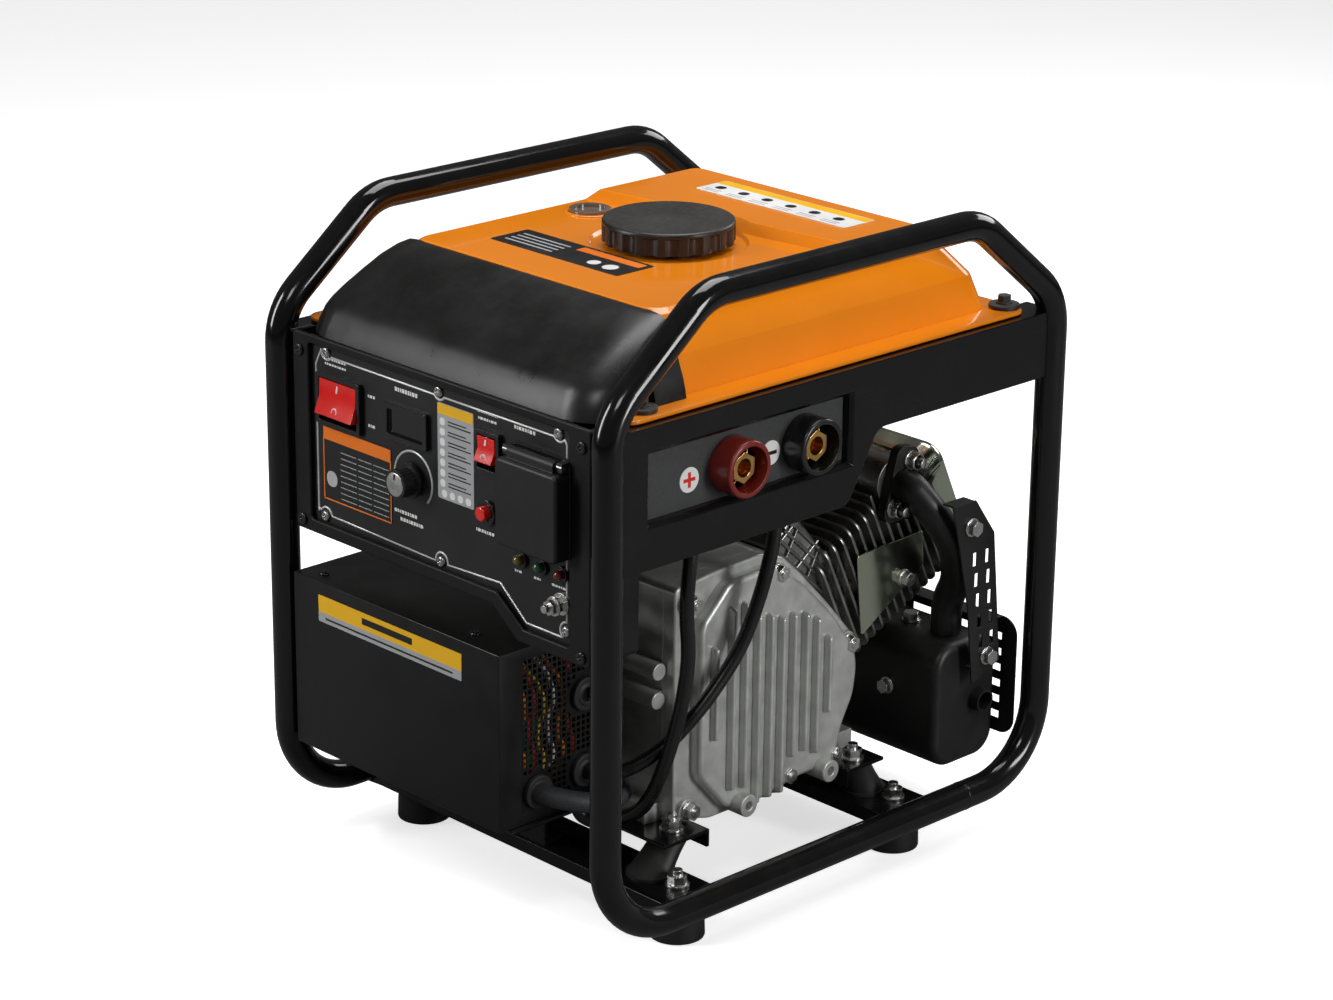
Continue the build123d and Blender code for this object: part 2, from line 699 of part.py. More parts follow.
def current_potentiometer():
    """Potentiometer behind the panel, with its threaded bush and shaft."""
    can = front_bar(KNOB, PANEL_Y + PANEL_T, PANEL_Y + 12, 12)
    bush = front_bar(KNOB, PANEL_Y - 2.5, PANEL_Y + 3, 5)
    shaft = front_bar(KNOB, PANEL_Y - 13, PANEL_Y, 3)
    return can + bush + shaft


def current_knob():
    """Fluted control knob with a metal cap and a pointer line."""
    base = PANEL_Y - 3.2
    tip = PANEL_Y - 17.0
    knob = front_bar(KNOB, base - 3, base, KNOB_R)
    knob += front_bar(KNOB, tip, base - 2, KNOB_R - 2.2)
    for step in range(24):
        angle = 2 * math.pi * step / 24
        x = KNOB[0] + (KNOB_R - 1.6) * math.cos(angle)
        z = KNOB[1] + (KNOB_R - 1.6) * math.sin(angle)
        knob -= front_bar((x, z), tip - 1, base - 3, 0.9)
    return knob - front_bar(KNOB, base - 11, base + 1, 3.05)


def reset_breaker():
    """Thermal breaker: nut and barrel round the reset button."""
    collar = front_bar(RESET, PANEL_Y - 3, PANEL_Y, 9.5)
    barrel = front_bar(RESET, PANEL_Y - 1, PANEL_Y + 26, 8)
    return collar + barrel - front_bar(RESET, PANEL_Y - 4, PANEL_Y + 12, 5.6)


def reset_button():
    """Red push button of the breaker."""
    button = front_bar(RESET, PANEL_Y - 8, PANEL_Y + 4, 5.2)
    return fillet(button.edges().filter_by(GeomType.CIRCLE).sort_by(Axis.Y)[0], 1.2)


def outlet_body():
    """Mains outlet with its face, contact slots and hinge ears."""
    body = front_slab(OUTLET, OUTLET_SIZE, PANEL_Y - 5, PANEL_Y, 5)
    body += front_slab(OUTLET, (45.4, 45.4), PANEL_Y - 1, PANEL_Y + 28, 3.6)
    body -= front_bar(OUTLET, PANEL_Y - 6, PANEL_Y + 9, 20)
    body += front_bar(OUTLET, PANEL_Y - 2, PANEL_Y + 10, 17.5)
    x, z = OUTLET
    for side in (-1, 1):
        body -= block(x + side * 8 - 1.2, x + side * 8 + 1.2, PANEL_Y - 3, PANEL_Y + 8, z - 4, z + 4)
        ear = side * (OUTLET_SIZE[0] / 2 - 4)
        body += block(x + ear - 3, x + ear + 3, PANEL_Y - 11, PANEL_Y - 4, HINGE_Z - 4, HINGE_Z + 3)
    return body - rod((x - 40, HINGE_Y, HINGE_Z), (x + 40, HINGE_Y, HINGE_Z), 1.55)


def outlet_hinge_pin():
    """Pin of the outlet's flap."""
    reach = OUTLET_SIZE[0] / 2 - 1.5
    x = OUTLET[0]
    return rod((x - reach, HINGE_Y, HINGE_Z), (x + reach, HINGE_Y, HINGE_Z), 1.5)


def outlet_flap():
    """Sprung flap that covers the outlet, on a hinge along its upper edge."""
    x, z = OUTLET
    half_w = OUTLET_SIZE[0] / 2
    half_h = OUTLET_SIZE[1] / 2
    back = PANEL_Y - 5.4
    flap = block(x - half_w, x + half_w, OUTLET_FRONT, back, z - half_h, z + half_h - 8)
    flap = fillet(flap.edges().filter_by(Axis.Y), 5)
    flap = fillet(flap.faces().sort_by(Axis.Y)[0].edges(), 2.5)
    flap -= block(x - half_w + 2.5, x + half_w - 2.5, OUTLET_FRONT + 2.5, back + 1, z - half_h + 2.5,
                  z + half_h - 13)
    inner = half_w - 7.6
    knuckle = rod((x - inner, HINGE_Y, HINGE_Z), (x + inner, HINGE_Y, HINGE_Z), 3.6)
    web = block(x - inner, x + inner, HINGE_Y - 3.6, HINGE_Y + 1.0, z + half_h - 12, HINGE_Z)
    flap += knuckle + web
    return flap - rod((x - 40, HINGE_Y, HINGE_Z), (x + 40, HINGE_Y, HINGE_Z), 1.55)


def indicator_lamps():
    """Three domed lamps in black holders."""
    lamps = []
    for place in LAMPS:
        x, z = place
        holder = front_bar(place, PANEL_Y - 2.5, PANEL_Y, 6.3) + front_bar(place, PANEL_Y - 1, PANEL_Y + 10, 4)
        lens = front_bar(place, PANEL_Y - 4, PANEL_Y - 1, 3.6)
        dome = Pos(x, PANEL_Y - 4, z) * Sphere(3.4)
        lamps.append(holder + lens + dome)
    return group(lamps)


def ground_terminal():
    """Earth stud with its washers and nuts."""
    x, z = GROUND
    stud = front_bar(GROUND, PANEL_Y - 17, PANEL_Y + 8, 3)
    washer = front_bar(GROUND, PANEL_Y - 1.6, PANEL_Y, 8)
    lock = front_bar(GROUND, PANEL_Y - 8.4, PANEL_Y - 7, 7)
    back_nut = hex_bar((x, PANEL_Y - 1.5, z), (0, -1, 0), 10, 5.6)
    front_nut = hex_bar((x, PANEL_Y - 8.3, z), (0, -1, 0), 10, 4.4)
    return stud + washer + lock + back_nut + front_nut


# ---- welding sockets ----

def socket_plate():
    """Textured plate on the floor of the side recess."""
    clear = 0.2
    y0, y1 = RECESS_Y
    z0, z1 = RECESS_Z
    plate = block(RECESS_X - 2, RECESS_X, y0 + clear, y1 - clear, z0 + clear, z1 - clear)
    for y in SOCKET_Y:
        plate -= rod((RECESS_X - 3, y, SOCKET_Z), (RECESS_X + 1, y, SOCKET_Z), SOCKET_STEM_R + 0.5)
    return plate


def weld_socket(y):
    """Insulating collar of a welding socket, with its stem through the plate."""
    collar = socket_bar(y, RECESS_X, SOCKET_TIP_X, SOCKET_R)
    collar = fillet(collar.edges().filter_by(GeomType.CIRCLE).sort_by(Axis.X)[-1], 2)
    collar += socket_bar(y, RECESS_X - 22, RECESS_X + 1, SOCKET_STEM_R)
    collar -= socket_bar(y, RECESS_X + 6, SOCKET_TIP_X + 1, SOCKET_R - 4)
    return collar - socket_bar(y, RECESS_X - 23, RECESS_X + 7, SOCKET_BORE_R + INSERT_WALL)


def socket_bar(y, x0, x1, radius):
    """Round bar on the axis of one welding socket."""
    return rod((x0, y, SOCKET_Z), (x1, y, SOCKET_Z), radius)


def socket_inserts():
    """Brass inserts that take the welding plugs."""
    inserts = []
    for y in SOCKET_Y:
        body = socket_bar(y, RECESS_X - 26, RECESS_X + 7, SOCKET_BORE_R + INSERT_WALL)
        body += hex_bar((RECESS_X + 6.5, y, SOCKET_Z), (1, 0, 0), 20, 7.5)
        inserts.append(body - socket_bar(y, RECESS_X - 14, RECESS_X + 20, SOCKET_BORE_R))
    return group(inserts)


# ---- inverter module ----

def inverter_case():
    """Folded sheet cover of the inverter, with a grid of vents through both ends."""
    x0, x1 = CASE_X
    y0, y1 = CASE_Y
    z0, z1 = CASE_Z
    t = CASE_SHEET
    case = block(x0, x1, y0, y1, z0, z1) - block(x0 + t, x1 - t, y0 + t, y1 - t, z0 + t, z1 - t)
    hole = VENT_PITCH - VENT_WEB
    vents = []
    for column in range(VENT_COLUMNS):
        for row in range(VENT_ROWS):
            y = VENT_START[0] + column * VENT_PITCH
            z = VENT_START[1] + row * VENT_PITCH
            if all(math.dist((y + hole / 2, z + hole / 2), seat) > 20 for seat in GROMMET_YZ):
                vents.append(block(x0 - 1, x1 + 1, y, y + hole, z, z + hole))
    case -= vents
    for y, z in GROMMET_YZ:
        case -= rod((x1 - 5, y, z), (x1 + 5, y, z), 8)
    hole_x, hole_y = FLOOR_HOLE
    return case - rod((hole_x, hole_y, z0 - 1), (hole_x, hole_y, z0 + 5), FLOOR_HOLE_R)


def inverter_board():
    """Circuit board with its finned heat sink and capacitors."""
    board = block(-140, 48, -215, -150, 112, 114)
    sink = block(-120, 20, -212, -166, 114, 122)
    for step in range(9):
        x = -118 + step * 16
        sink += block(x, x + 4, -212, -166, 121, 176)
    tubs = [Pos(38, y, 114) * Cylinder(9, 46, align=BOTTOM) for y in (-202, -178)]
    posts = [rod((x, y, CASE_Z[0] + CASE_SHEET), (x, y, 112), 4) for x in (-132, 36) for y in (-210, -155)]
    whole = board + sink
    for piece in tubs + posts:
        whole += piece
    return whole


def inverter_tray():
    """Folded tray that carries the inverter above the front beam."""
    x0, x1 = CASE_X
    top = CASE_Z[0]
    tray = block(x0 + 6, x1 + 4, -222, -130, top - 2.5, top)
    for x in (-60, 10):
        tray += block(x - 18, x + 18, -150, -147.5, BASE_Z, top - 1)
        tray += block(x - 18, x + 18, -150, -132, BASE_Z, BASE_Z + 2.5)
    hole_x, hole_y = FLOOR_HOLE
    return tray - rod((hole_x, hole_y, top - 5), (hole_x, hole_y, top + 1), FLOOR_HOLE_R)


def cable_grommets():
    """Rubber grommets in the cover's right end and in its back."""
    x1 = CASE_X[1]
    grommets = []
    for index, (y, z) in enumerate(GROMMET_YZ):
        ring = rod((x1 - 3.5, y, z), (x1 + 5, y, z), 8)
        ring += rod((x1, y, z), (x1 + 4, y, z), 12.5)
        ring -= rod((x1 - 6, y, z), (x1 + 9, y, z), GROMMET_BORES[index])
        grommets.append(ring)
    return group(grommets)


# ---- engine ----

def tilt_plane(distance):
    """Plane square to the cylinder, at a distance from the crank along its axis."""
    tilt = math.radians(CYLINDER_TILT)
    y, z = CRANK_YZ
    axis = (0, math.cos(tilt), math.sin(tilt))
    origin = (CYLINDER_X, y + axis[1] * distance, z + axis[2] * distance)
    return Plane(origin=origin, x_dir=(1, 0, 0), z_dir=axis)


def crankcase():
    """Cast crankcase with its mounting feet and lugs."""
    block_solid = side_prism(COVER_OUTLINE, BLOCK_X[0] + 14, BLOCK_X[1], corner=5)
    crank_y, crank_z = CRANK_YZ
    block_solid += rod((BLOCK_X[0], crank_y, crank_z), (BLOCK_X[0] + 30, crank_y, crank_z), 84)
    for y, z in ((-104, 185), (-105, 163)):
        block_solid += rod((40, y, z), (BLOCK_X[1] + 4, y, z), 6.5)
        block_solid += block(44, BLOCK_X[1], y, -94, z - 5, z + 5)
    for y0, y1 in ((-112, -82), (70, 106)):
        block_solid += block(2, BLOCK_X[1] - 2, y0, y1, BRACKET_Z, BRACKET_Z + 14)
    block_solid += block(2, BLOCK_X[1] - 2, 60, 80, BRACKET_Z, BRACKET_Z + 24)
    chamber = rod((4, crank_y, crank_z), (BLOCK_X[1] + 1, crank_y, crank_z), 54)
    block_solid -= chamber
    return block_solid - rod((BLOCK_X[0] - 1, crank_y, crank_z), (5, crank_y, crank_z), SHAFT_R + SHAFT_GAP)


def crankcase_cover():
    """Ribbed cover on the right face of the crankcase, with a blind bearing seat inside."""
    cover = side_prism(COVER_OUTLINE, COVER_BACK, COVER_RIM, corner=5)
    inset = [
        (-80, 100), (-52, 68), (-20, 64), (20, 71), (60, 72), (66, 84), (70, 100), (82, 122), (85, 144),
        (82, 160), (56, 194), (26, 224), (8, 238), (-10, 247), (-52, 245), (-80, 218),
    ]
    cover += side_prism(inset, COVER_RIM - 1, COVER_FACE, corner=5)
    for y, low, high in RIBS:
        cover += block(COVER_FACE - 8, RIB_FACE, y - 2.2, y + 2.2, low, high)
    for y, z in COVER_BOLTS:
        cover -= rod((COVER_RIM + 4, y, z), (RIB_FACE + 5, y, z), 9)
    for y in MOUNT_HEAD_Y:
        cover -= rod((MOUNT_X, y, BRACKET_Z - 1), (MOUNT_X, y, BRACKET_Z + 15), 10)
    for y, z in ((-38.5, 70), (47.9, 72)):
        cover += rod((COVER_RIM - 4, y, z), (RIB_FACE + 4, y, z), 8.5)
        cover -= rod((RIB_FACE - 8, y, z), (RIB_FACE + 5, y, z), 3.2)
    for y, z in COVER_BOLTS:
        cover += rod((COVER_BACK, y, z), (COVER_RIM + 4, y, z), 8)
    crank_y, crank_z = CRANK_YZ
    cover += rod((COVER_BACK - 12, crank_y, crank_z), (COVER_BACK + 1, crank_y, crank_z), 24)
    end_clearance = 0.5
    shaft_end = COVER_BACK + 6 + end_clearance
    return cover - rod((COVER_BACK - 13, crank_y, crank_z), (shaft_end, crank_y, crank_z), SHAFT_R + SHAFT_GAP)


def cylinder():
    """Finned cylinder barrel and head, leaning back from the crankcase."""
    body = extrude(tilt_plane(CYLINDER_START) * Circle(40), 70)
    body += extrude(tilt_plane(140) * Rectangle(84, 78), HEAD_END - 140)
    pitch = 9.0
    fin = 2.6
    count = 13
    wide, tall = FIN_HALF
    for step in range(count):
        trim = 8 if step == 0 else 0
        face = RectangleRounded(2 * wide, 2 * (tall - trim), 10)
        body += extrude(tilt_plane(88 + step * pitch) * face, fin)
    body += extrude(tilt_plane(HEAD_END - 6) * RectangleRounded(106, 102, 12), 6)
    port_x, port_y, port_z = PORT
    pocket_depth = 9.0
    body -= rod((port_x - 3, port_y, port_z), (port_x + pocket_depth, port_y, port_z), 31)
    body += rod((CYLINDER_X, port_y, port_z), (port_x - 2, port_y, port_z), 18)
    body += rod(INTAKE, (CYLINDER_X - 30, INTAKE[1], INTAKE[2]), 15)
    body -= extrude(tilt_plane(60) * Circle(34), 96)
    return body - crankcase_room()


def crankcase_room():
    """Space of the crankcase and its cover, kept clear of the cylinder."""
    return side_prism(COVER_OUTLINE, BLOCK_X[0] + 14, COVER_RIM, corner=5)


def rocker_cover():
    """Pressed steel cover over the valve gear."""
    start = tilt_plane(HEAD_END)
    cover = extrude(start * RectangleRounded(112, 106, 14), 4)
    dome = extrude(tilt_plane(HEAD_END + 3) * RectangleRounded(104, 98, 16), 22)
    dome = fillet(dome.faces().sort_by(Axis((0, 0, 0), tuple(start.z_dir)))[-1].edges(), 8)
    return cover + dome


def air_guide():
    """Zinc plated air guide along the lower right of the cylinder."""
    outline = [(91, 227), (98, 161), (120, 175), (165, 202), (163, 230)]
    return side_prism(outline, SHROUD_X, SHROUD_X + SHROUD_T, corner=2)


def crank_bar(x0, x1, radius):
    """Round bar on the crankshaft's axis."""
    y, z = CRANK_YZ
    return rod((x0, y, z), (x1, y, z), radius)


def spokes(shape, count):
    """Copies of a shape spread evenly round the crankshaft's axis."""
    y, z = CRANK_YZ
    return [Pos(0, y, z) * (Rot(360 * step / count, 0, 0) * shape) for step in range(count)]


def crankshaft():
    """Crankshaft with its webs, alternator rotor and cooling fan."""
    y, z = CRANK_YZ
    pin_throw = 27.0
    shaft = crank_bar(-112, COVER_BACK + 6, SHAFT_R)
    shaft += crank_bar(22, 34, 44)
    shaft += crank_bar(64, 76, 44)
    shaft -= crank_bar(34, 64, SHAFT_R + 0.5)
    shaft += rod((33, y, z - pin_throw), (65, y, z - pin_throw), 15)
    shaft += crank_bar(-72, -66, 80)
    shaft += crank_bar(-67, -22, 80) - crank_bar(-66, -21, 70)
    shaft += crank_bar(-76, -71, 84)
    blade = block(-90, -75, -2, 2, 52, 82)
    for turned in spokes(blade, 16):
        shaft += turned
    return shaft + crank_bar(-90, -75, 54) - (crank_bar(-91, -77, 30) - crank_bar(-92, -76, SHAFT_R))


def alternator_stator():
    """Laminated stator with its wound teeth, fixed to the crankcase."""
    x0 = -58.0
    x1 = BLOCK_X[0]
    ring = crank_bar(x0, x1, 46) - crank_bar(x0 - 1, x1 + 1, 24)
    tooth = block(x0 + 4, x1 - 8, -4.5, 4.5, 40, 67)
    for turned in spokes(tooth, 18):
        ring += turned
    return ring


def alternator_housing():
    """Drum round the alternator and fan, with a hole for its leads."""
    x0, x1 = DRUM_X
    drum = crank_bar(x0, x1, DRUM_R) - crank_bar(x0 - 1, x1 + 1, DRUM_R - 4)
    slot = block(-52, -30, -5, 5, DRUM_R - 12, DRUM_R + 8)
    for turned in spokes(slot, 12):
        drum -= turned
    x, y, z = HARNESS_ROUTE[-1]
    return drum - rod((x, y - 16, z), (x, y + 4, z), SLEEVE_R)


def recoil_housing():
    """Domed cover of the hand starter, with air slots and the grip's outlet."""
    shell = crank_bar(RECOIL_X, DRUM_X[0], DRUM_R)
    rim = shell.edges().filter_by(GeomType.CIRCLE).sort_by(Axis.X)[0]
    shell = fillet(rim, 16)
    shell -= crank_bar(RECOIL_X + 3, DRUM_X[0] + 1, 68)
    slot = block(RECOIL_X - 1, RECOIL_X + 5, -2.5, 2.5, 34, 62)
    for turned in spokes(slot, 24):
        shell -= turned
    grip_y, grip_z = GRIP_YZ
    shell += rod((RECOIL_X + 1, grip_y, grip_z), (RECOIL_X + 16, grip_y, grip_z), 12)
    return shell - rod((RECOIL_X - 1, grip_y, grip_z), (RECOIL_X + 17, grip_y, grip_z), 4)


def recoil_grip():
    """Starter grip, drawn out to the left against the recoil spring."""
    grip_y, grip_z = GRIP_YZ
    back = RECOIL_X - 0.4
    front = back - 14
    grip = block(front, back - 4, grip_y - 30, grip_y + 30, grip_z - 7, grip_z + 7)
    grip = fillet(grip.edges(), 4)
    return grip + rod((front + 6, grip_y, grip_z), (back, grip_y, grip_z), 8)


def carburettor():
    """Carburettor body with its float bowl, manifold and hose inlet."""
    body = block(-66, -30, 86, 122, 238, 272)
    body += rod((-48, 104, 214), (-48, 104, 240), 17)
    body += rod((-31, INTAKE[1], INTAKE[2]), INTAKE, 14)
    body += rod((-72, 104, 255), (-60, 104, 255), 17)
    x, y, z = CARB_INLET
    body += rod((x, y, 270), (x, y, z), 3.6)
    return body - rod((-48, 121, 262), (-48, 124, 262), 3.05)


def choke_lever():
    """Choke lever on the back of the carburettor."""
    lever = rod((-48, 122.4, 262), (-48, 126, 262), 6)
    lever += rod((-48, 121.2, 262), (-48, 123, 262), 3)
    return lever + block(-50.5, -45.5, 122.4, 125, 262, 292)


def air_cleaner():
    """Air cleaner box on the carburettor's inlet."""
    box = block(-142, -72, 62, 172, 216, 300)
    box = fillet(box.edges().filter_by(Axis.Y), 12)
    box = fillet(box.edges().filter_by(Axis.X), 6)
    inner = block(-139, -75, 65, 169, 219, 297)
    lid_line = block(-143, -71, 61, 173, 256, 257.5) - block(-140.5, -73.5, 63.5, 170.5, 250, 260)
    return box - inner - lid_line


# ---- exhaust ----

def exhaust_pipe():
    """Exhaust elbow with its flange and studs, from the port down to the muffler."""
    x, y, z = PORT
    outline = [(y - 20, z - 28), (y + 4, z - 30), (y + 20, z + 26), (y - 4, z + 30)]
    plate = side_prism(outline, x - 2, x + 6, corner=8) + lead(EXHAUST_ROUTE, PIPE_R)
    for sign, lean in ((-1, -9), (1, 9)):
        seat = (x + 5.9, y + lean, z + sign * 17)
        plate += bolt_head(seat, (1, 0, 0), flats=11, head=7) + rod(seat, (x + 20, seat[1], seat[2]), 3.5)
    return plate


def muffler():
    """Muffler box with its seams and outlet."""
    x0, x1 = MUFFLER_X
    y0, y1 = MUFFLER_Y
    z0, z1 = MUFFLER_Z
    t = 2.0
    box = block(x0, x1, y0, y1, z0, z1)
    box = fillet(box.edges().filter_by(Axis.X), 20)
    box = fillet(box.faces().sort_by(Axis.X)[-1].edges(), 6)
    core = fillet(block(x0 + t, x1 - t, y0 + t, y1 - t, z0 + t, z1 - t).edges().filter_by(Axis.X), 18)
    outlet = ((x1 - 2, 190, 97), (x1 + 9, 190, 97))
    box += rod(*outlet, 9)
    box -= core
    box -= rod((x1 - 4, 190, 97), (x1 + 10, 190, 97), 7.2)
    return box - rod((*MUFFLER_INLET, z1 - 4), (*MUFFLER_INLET, z1 + 2), PIPE_R - 3)


def engine_bolts():
    """Bolts of the crankcase cover, the air guide, the muffler and its guards."""
    bolts = []
    for y, z in COVER_BOLTS:
        seat = (COVER_RIM + 4, y, z)
        bolts.append(bolt_head(seat, (1, 0, 0), flats=11, head=6) + rod(seat, (COVER_RIM + 13, y, z), 3))
    bolts.append(bolt_head((SHROUD_X + SHROUD_T, 143, 197), (1, 0, 0), flats=10, head=6))
    bolts.append(bolt_head((96, MUFFLER_Y[0], 106), (0, -1, 0), flats=10))
    bolts.append(bolt_head((88, 176, MUFFLER_Z[1]), (0, 0, 1), flats=11))
    for y, z in GUARD_BOLTS:
        bolts.append(bolt_head((GUARD_X + GUARD_T, y, z), (1, 0, 0), flats=11))
    return group(bolts)


def exhaust_guards():
    """Strap beside the exhaust elbow and plate behind the muffler."""
    return group([pipe_guard(), rear_guard()])


def pipe_guard():
    """Slotted strap that shields the exhaust elbow on its outer side."""
    outline = [(143, 265), (169, 265), (191, 235), (203, 128), (172, 116), (164, 180), (153, 228)]
    guard = side_prism(outline, GUARD_X, GUARD_X + GUARD_T)
    guard += block(GUARD_X - 11, GUARD_X + GUARD_T, 145, 168, 265 - GUARD_T, 265)
    guard += block(MUFFLER_X[1], GUARD_X + 0.5, 174, 200, 126, 128)
    rows = 5
    for row in range(rows):
        z = 218 - row * 17
        for y in (170 + row * 2.6, 184 + row * 2.2):
            guard -= block(GUARD_X - 1, GUARD_X + 3, y - 2, y + 2, z - 6, z + 5)
    return guard


def rear_guard():
    """Slotted plate behind the muffler."""
    back = MUFFLER_Y[1]
    y = back + 7
    plate = front_prism([(0, 60), (158, 60), (158, 156), (0, 156)], y, y + GUARD_T)
    plate = fillet(plate.edges().filter_by(Axis.Y), 14)
    plate += block(14, 143, back - 8, y + 1, 156 - GUARD_T, 156)
    for x in (20, 120):
        plate += block(x - 6, x + 6, back, y + 0.5, 104, 106)
    columns = 4
    rows = 6
    for column in range(columns):
        for row in range(rows):
            x = 16 + column * 35
            z = 74 + row * 13
            plate -= block(x, x + 22, y - 1, y + 3, z - 3, z + 3)
    return plate


# ---- cables ----

def harness():
    """Braided sleeve over the alternator's leads."""
    return lead(HARNESS_ROUTE, SLEEVE_R)


def weld_cables():
    """Cables from the backs of the two sockets to the inverter."""
    return group([lead(POSITIVE_ROUTE, CABLE_R), lead(NEGATIVE_ROUTE, CABLE_R)])


def build():
    """Make every node, keyed by its name."""
    left = hoop(-HOOP_X)
    right = hoop(HOOP_X)
    hoops = left + right
    return {
        "left_hoop": left,
        "right_hoop": right,
        "front_cross_beam": cross_beam(FRONT_BEAM_Y, hoops),
        "rear_cross_beam": cross_beam(REAR_BEAM_Y, hoops),
        "left_side_rail": side_rail(-1, hoops),
        "right_side_rail": side_rail(1, hoops),
        "rubber_feet": rubber_feet(),
        "flange_nuts": flange_nuts(),
        "engine_mounts": engine_mounts(),
        "mount_brackets": mount_brackets(),
        "fuel_tank": fuel_tank(),
        "fuel_cap": fuel_cap(),
        "fuel_gauge": fuel_gauge(),
        "tank_bolts": tank_bolts(),
        "fuel_tap": fuel_tap(),
        "fuel_tap_lever": fuel_tap_lever(),
        "fuel_hose": fuel_hose(),
        "front_fascia": fascia(),
        "control_panel": control_panel(),
        "cover_screws": cover_screws(),
        "switch_bezels": switch_bezels(),
        "weld_switch_rocker": switch_rocker(WELD_SWITCH, WELD_SWITCH_SIZE),
        "power_switch_rocker": switch_rocker(POWER_SWITCH, POWER_SWITCH_SIZE),
        "current_display": current_display(),
        "current_potentiometer": current_potentiometer(),
        "current_knob": current_knob(),
        "reset_breaker": reset_breaker(),
        "reset_button": reset_button(),
        "outlet_body": outlet_body(),
        "outlet_hinge_pin": outlet_hinge_pin(),
        "outlet_flap": outlet_flap(),
        "indicator_lamps": indicator_lamps(),
        "ground_terminal": ground_terminal(),
        "socket_plate": socket_plate(),
        "positive_socket": weld_socket(SOCKET_Y[0]),
        "negative_socket": weld_socket(SOCKET_Y[1]),
        "socket_inserts": socket_inserts(),
        "inverter_case": inverter_case(),
        "inverter_board": inverter_board(),
        "inverter_tray": inverter_tray(),
        "cable_grommets": cable_grommets(),
        "alternator_harness": harness(),
        "weld_cables": weld_cables(),
        "crankcase": crankcase(),
        "crankcase_cover": crankcase_cover(),
        "engine_bolts": engine_bolts(),
        "cylinder": cylinder(),
        "rocker_cover": rocker_cover(),
        "air_guide": air_guide(),
        "crankshaft": crankshaft(),
        "alternator_stator": alternator_stator(),
        "alternator_housing": alternator_housing(),
        "recoil_housing": recoil_housing(),
        "recoil_grip": recoil_grip(),
        "carburettor": carburettor(),
        "choke_lever": choke_lever(),
        "air_cleaner": air_cleaner(),
        "exhaust_pipe": exhaust_pipe(),
        "muffler": muffler(),
        "exhaust_guards": exhaust_guards(),
    }


def main():
    """Write one STEP file for each node."""
    os.makedirs("parts", exist_ok=True)
    for name, shape in build().items():
        placed = [Pos(-ORIGIN_X, -ORIGIN_Y, 0) * solid for solid in shape.solids()]
        export_step(group(placed), f"parts/{name}.step")


main()
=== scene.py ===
import json
import math

import bpy
from mathutils import Matrix, Vector


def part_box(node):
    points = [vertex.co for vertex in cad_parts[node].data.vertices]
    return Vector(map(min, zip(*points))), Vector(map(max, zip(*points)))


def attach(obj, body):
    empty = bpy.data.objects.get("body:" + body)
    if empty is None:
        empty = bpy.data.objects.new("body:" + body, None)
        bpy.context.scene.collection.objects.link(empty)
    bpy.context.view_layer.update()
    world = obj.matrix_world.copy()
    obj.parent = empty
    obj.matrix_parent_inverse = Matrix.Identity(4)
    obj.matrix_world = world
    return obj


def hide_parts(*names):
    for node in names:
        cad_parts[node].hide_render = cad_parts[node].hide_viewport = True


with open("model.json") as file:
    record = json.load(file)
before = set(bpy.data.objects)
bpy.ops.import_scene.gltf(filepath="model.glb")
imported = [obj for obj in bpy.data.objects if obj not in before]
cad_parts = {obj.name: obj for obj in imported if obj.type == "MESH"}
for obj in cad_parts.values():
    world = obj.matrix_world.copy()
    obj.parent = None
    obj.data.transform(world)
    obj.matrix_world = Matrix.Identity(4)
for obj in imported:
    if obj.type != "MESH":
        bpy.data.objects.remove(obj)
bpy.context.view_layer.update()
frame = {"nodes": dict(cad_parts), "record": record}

# Places are given in millimetres from the frame's middle plane and the floor.
MM = 0.001
LEFT_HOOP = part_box("left_hoop")
RIGHT_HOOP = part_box("right_hoop")
MIDDLE_X = (LEFT_HOOP[0].x + RIGHT_HOOP[1].x) / 2
MIDDLE_Y = (LEFT_HOOP[0].y + LEFT_HOOP[1].y) / 2
BODY_OF = {node: body for body, nodes in frame["record"]["behaviour"]["bodies"].items() for node in nodes}
SLOT_OF = {part["node"]: part["material_slot"] for part in frame["record"]["subparts"]}


def at(x, y, z):
    """Place in the row frame, in metres."""
    return Vector((MIDDLE_X + x * MM, MIDDLE_Y + y * MM, z * MM))


# ---- camera, light and floor ----

def add_camera():
    """Camera to the right of the front corner, looking down a little."""
    forward = Vector((-0.6776, 0.6571, -0.3303)).normalized()
    level_right = Vector((0.6962, 0.7179, 0.0)).normalized()
    level_up = level_right.cross(forward)
    roll = math.radians(0.65)
    right = level_right * math.cos(roll) + level_up * math.sin(roll)
    up = level_up * math.cos(roll) - level_right * math.sin(roll)
    turn = Matrix((right, up, -forward)).transposed()
    bpy.ops.object.camera_add(location=(1.8068, -1.7530, 1.1520), rotation=turn.to_euler())
    camera = bpy.context.object
    camera.name = "studio_camera"
    camera.data.sensor_width = 36.0
    camera.data.lens = 97.05
    camera.data.shift_x = -0.0016
    camera.data.shift_y = -0.0050
    camera.data.clip_end = 50.0
    bpy.context.scene.camera = camera


def add_softbox(name, place, target, size, power):
    """Rectangular soft light aimed at a point."""
    aim = (Vector(target) - Vector(place)).to_track_quat("-Z", "Y")
    bpy.ops.object.light_add(type="AREA", location=place, rotation=aim.to_euler())
    light = bpy.context.object
    light.name = name
    light.data.shape = "RECTANGLE"
    light.data.size = size[0]
    light.data.size_y = size[1]
    light.data.energy = power


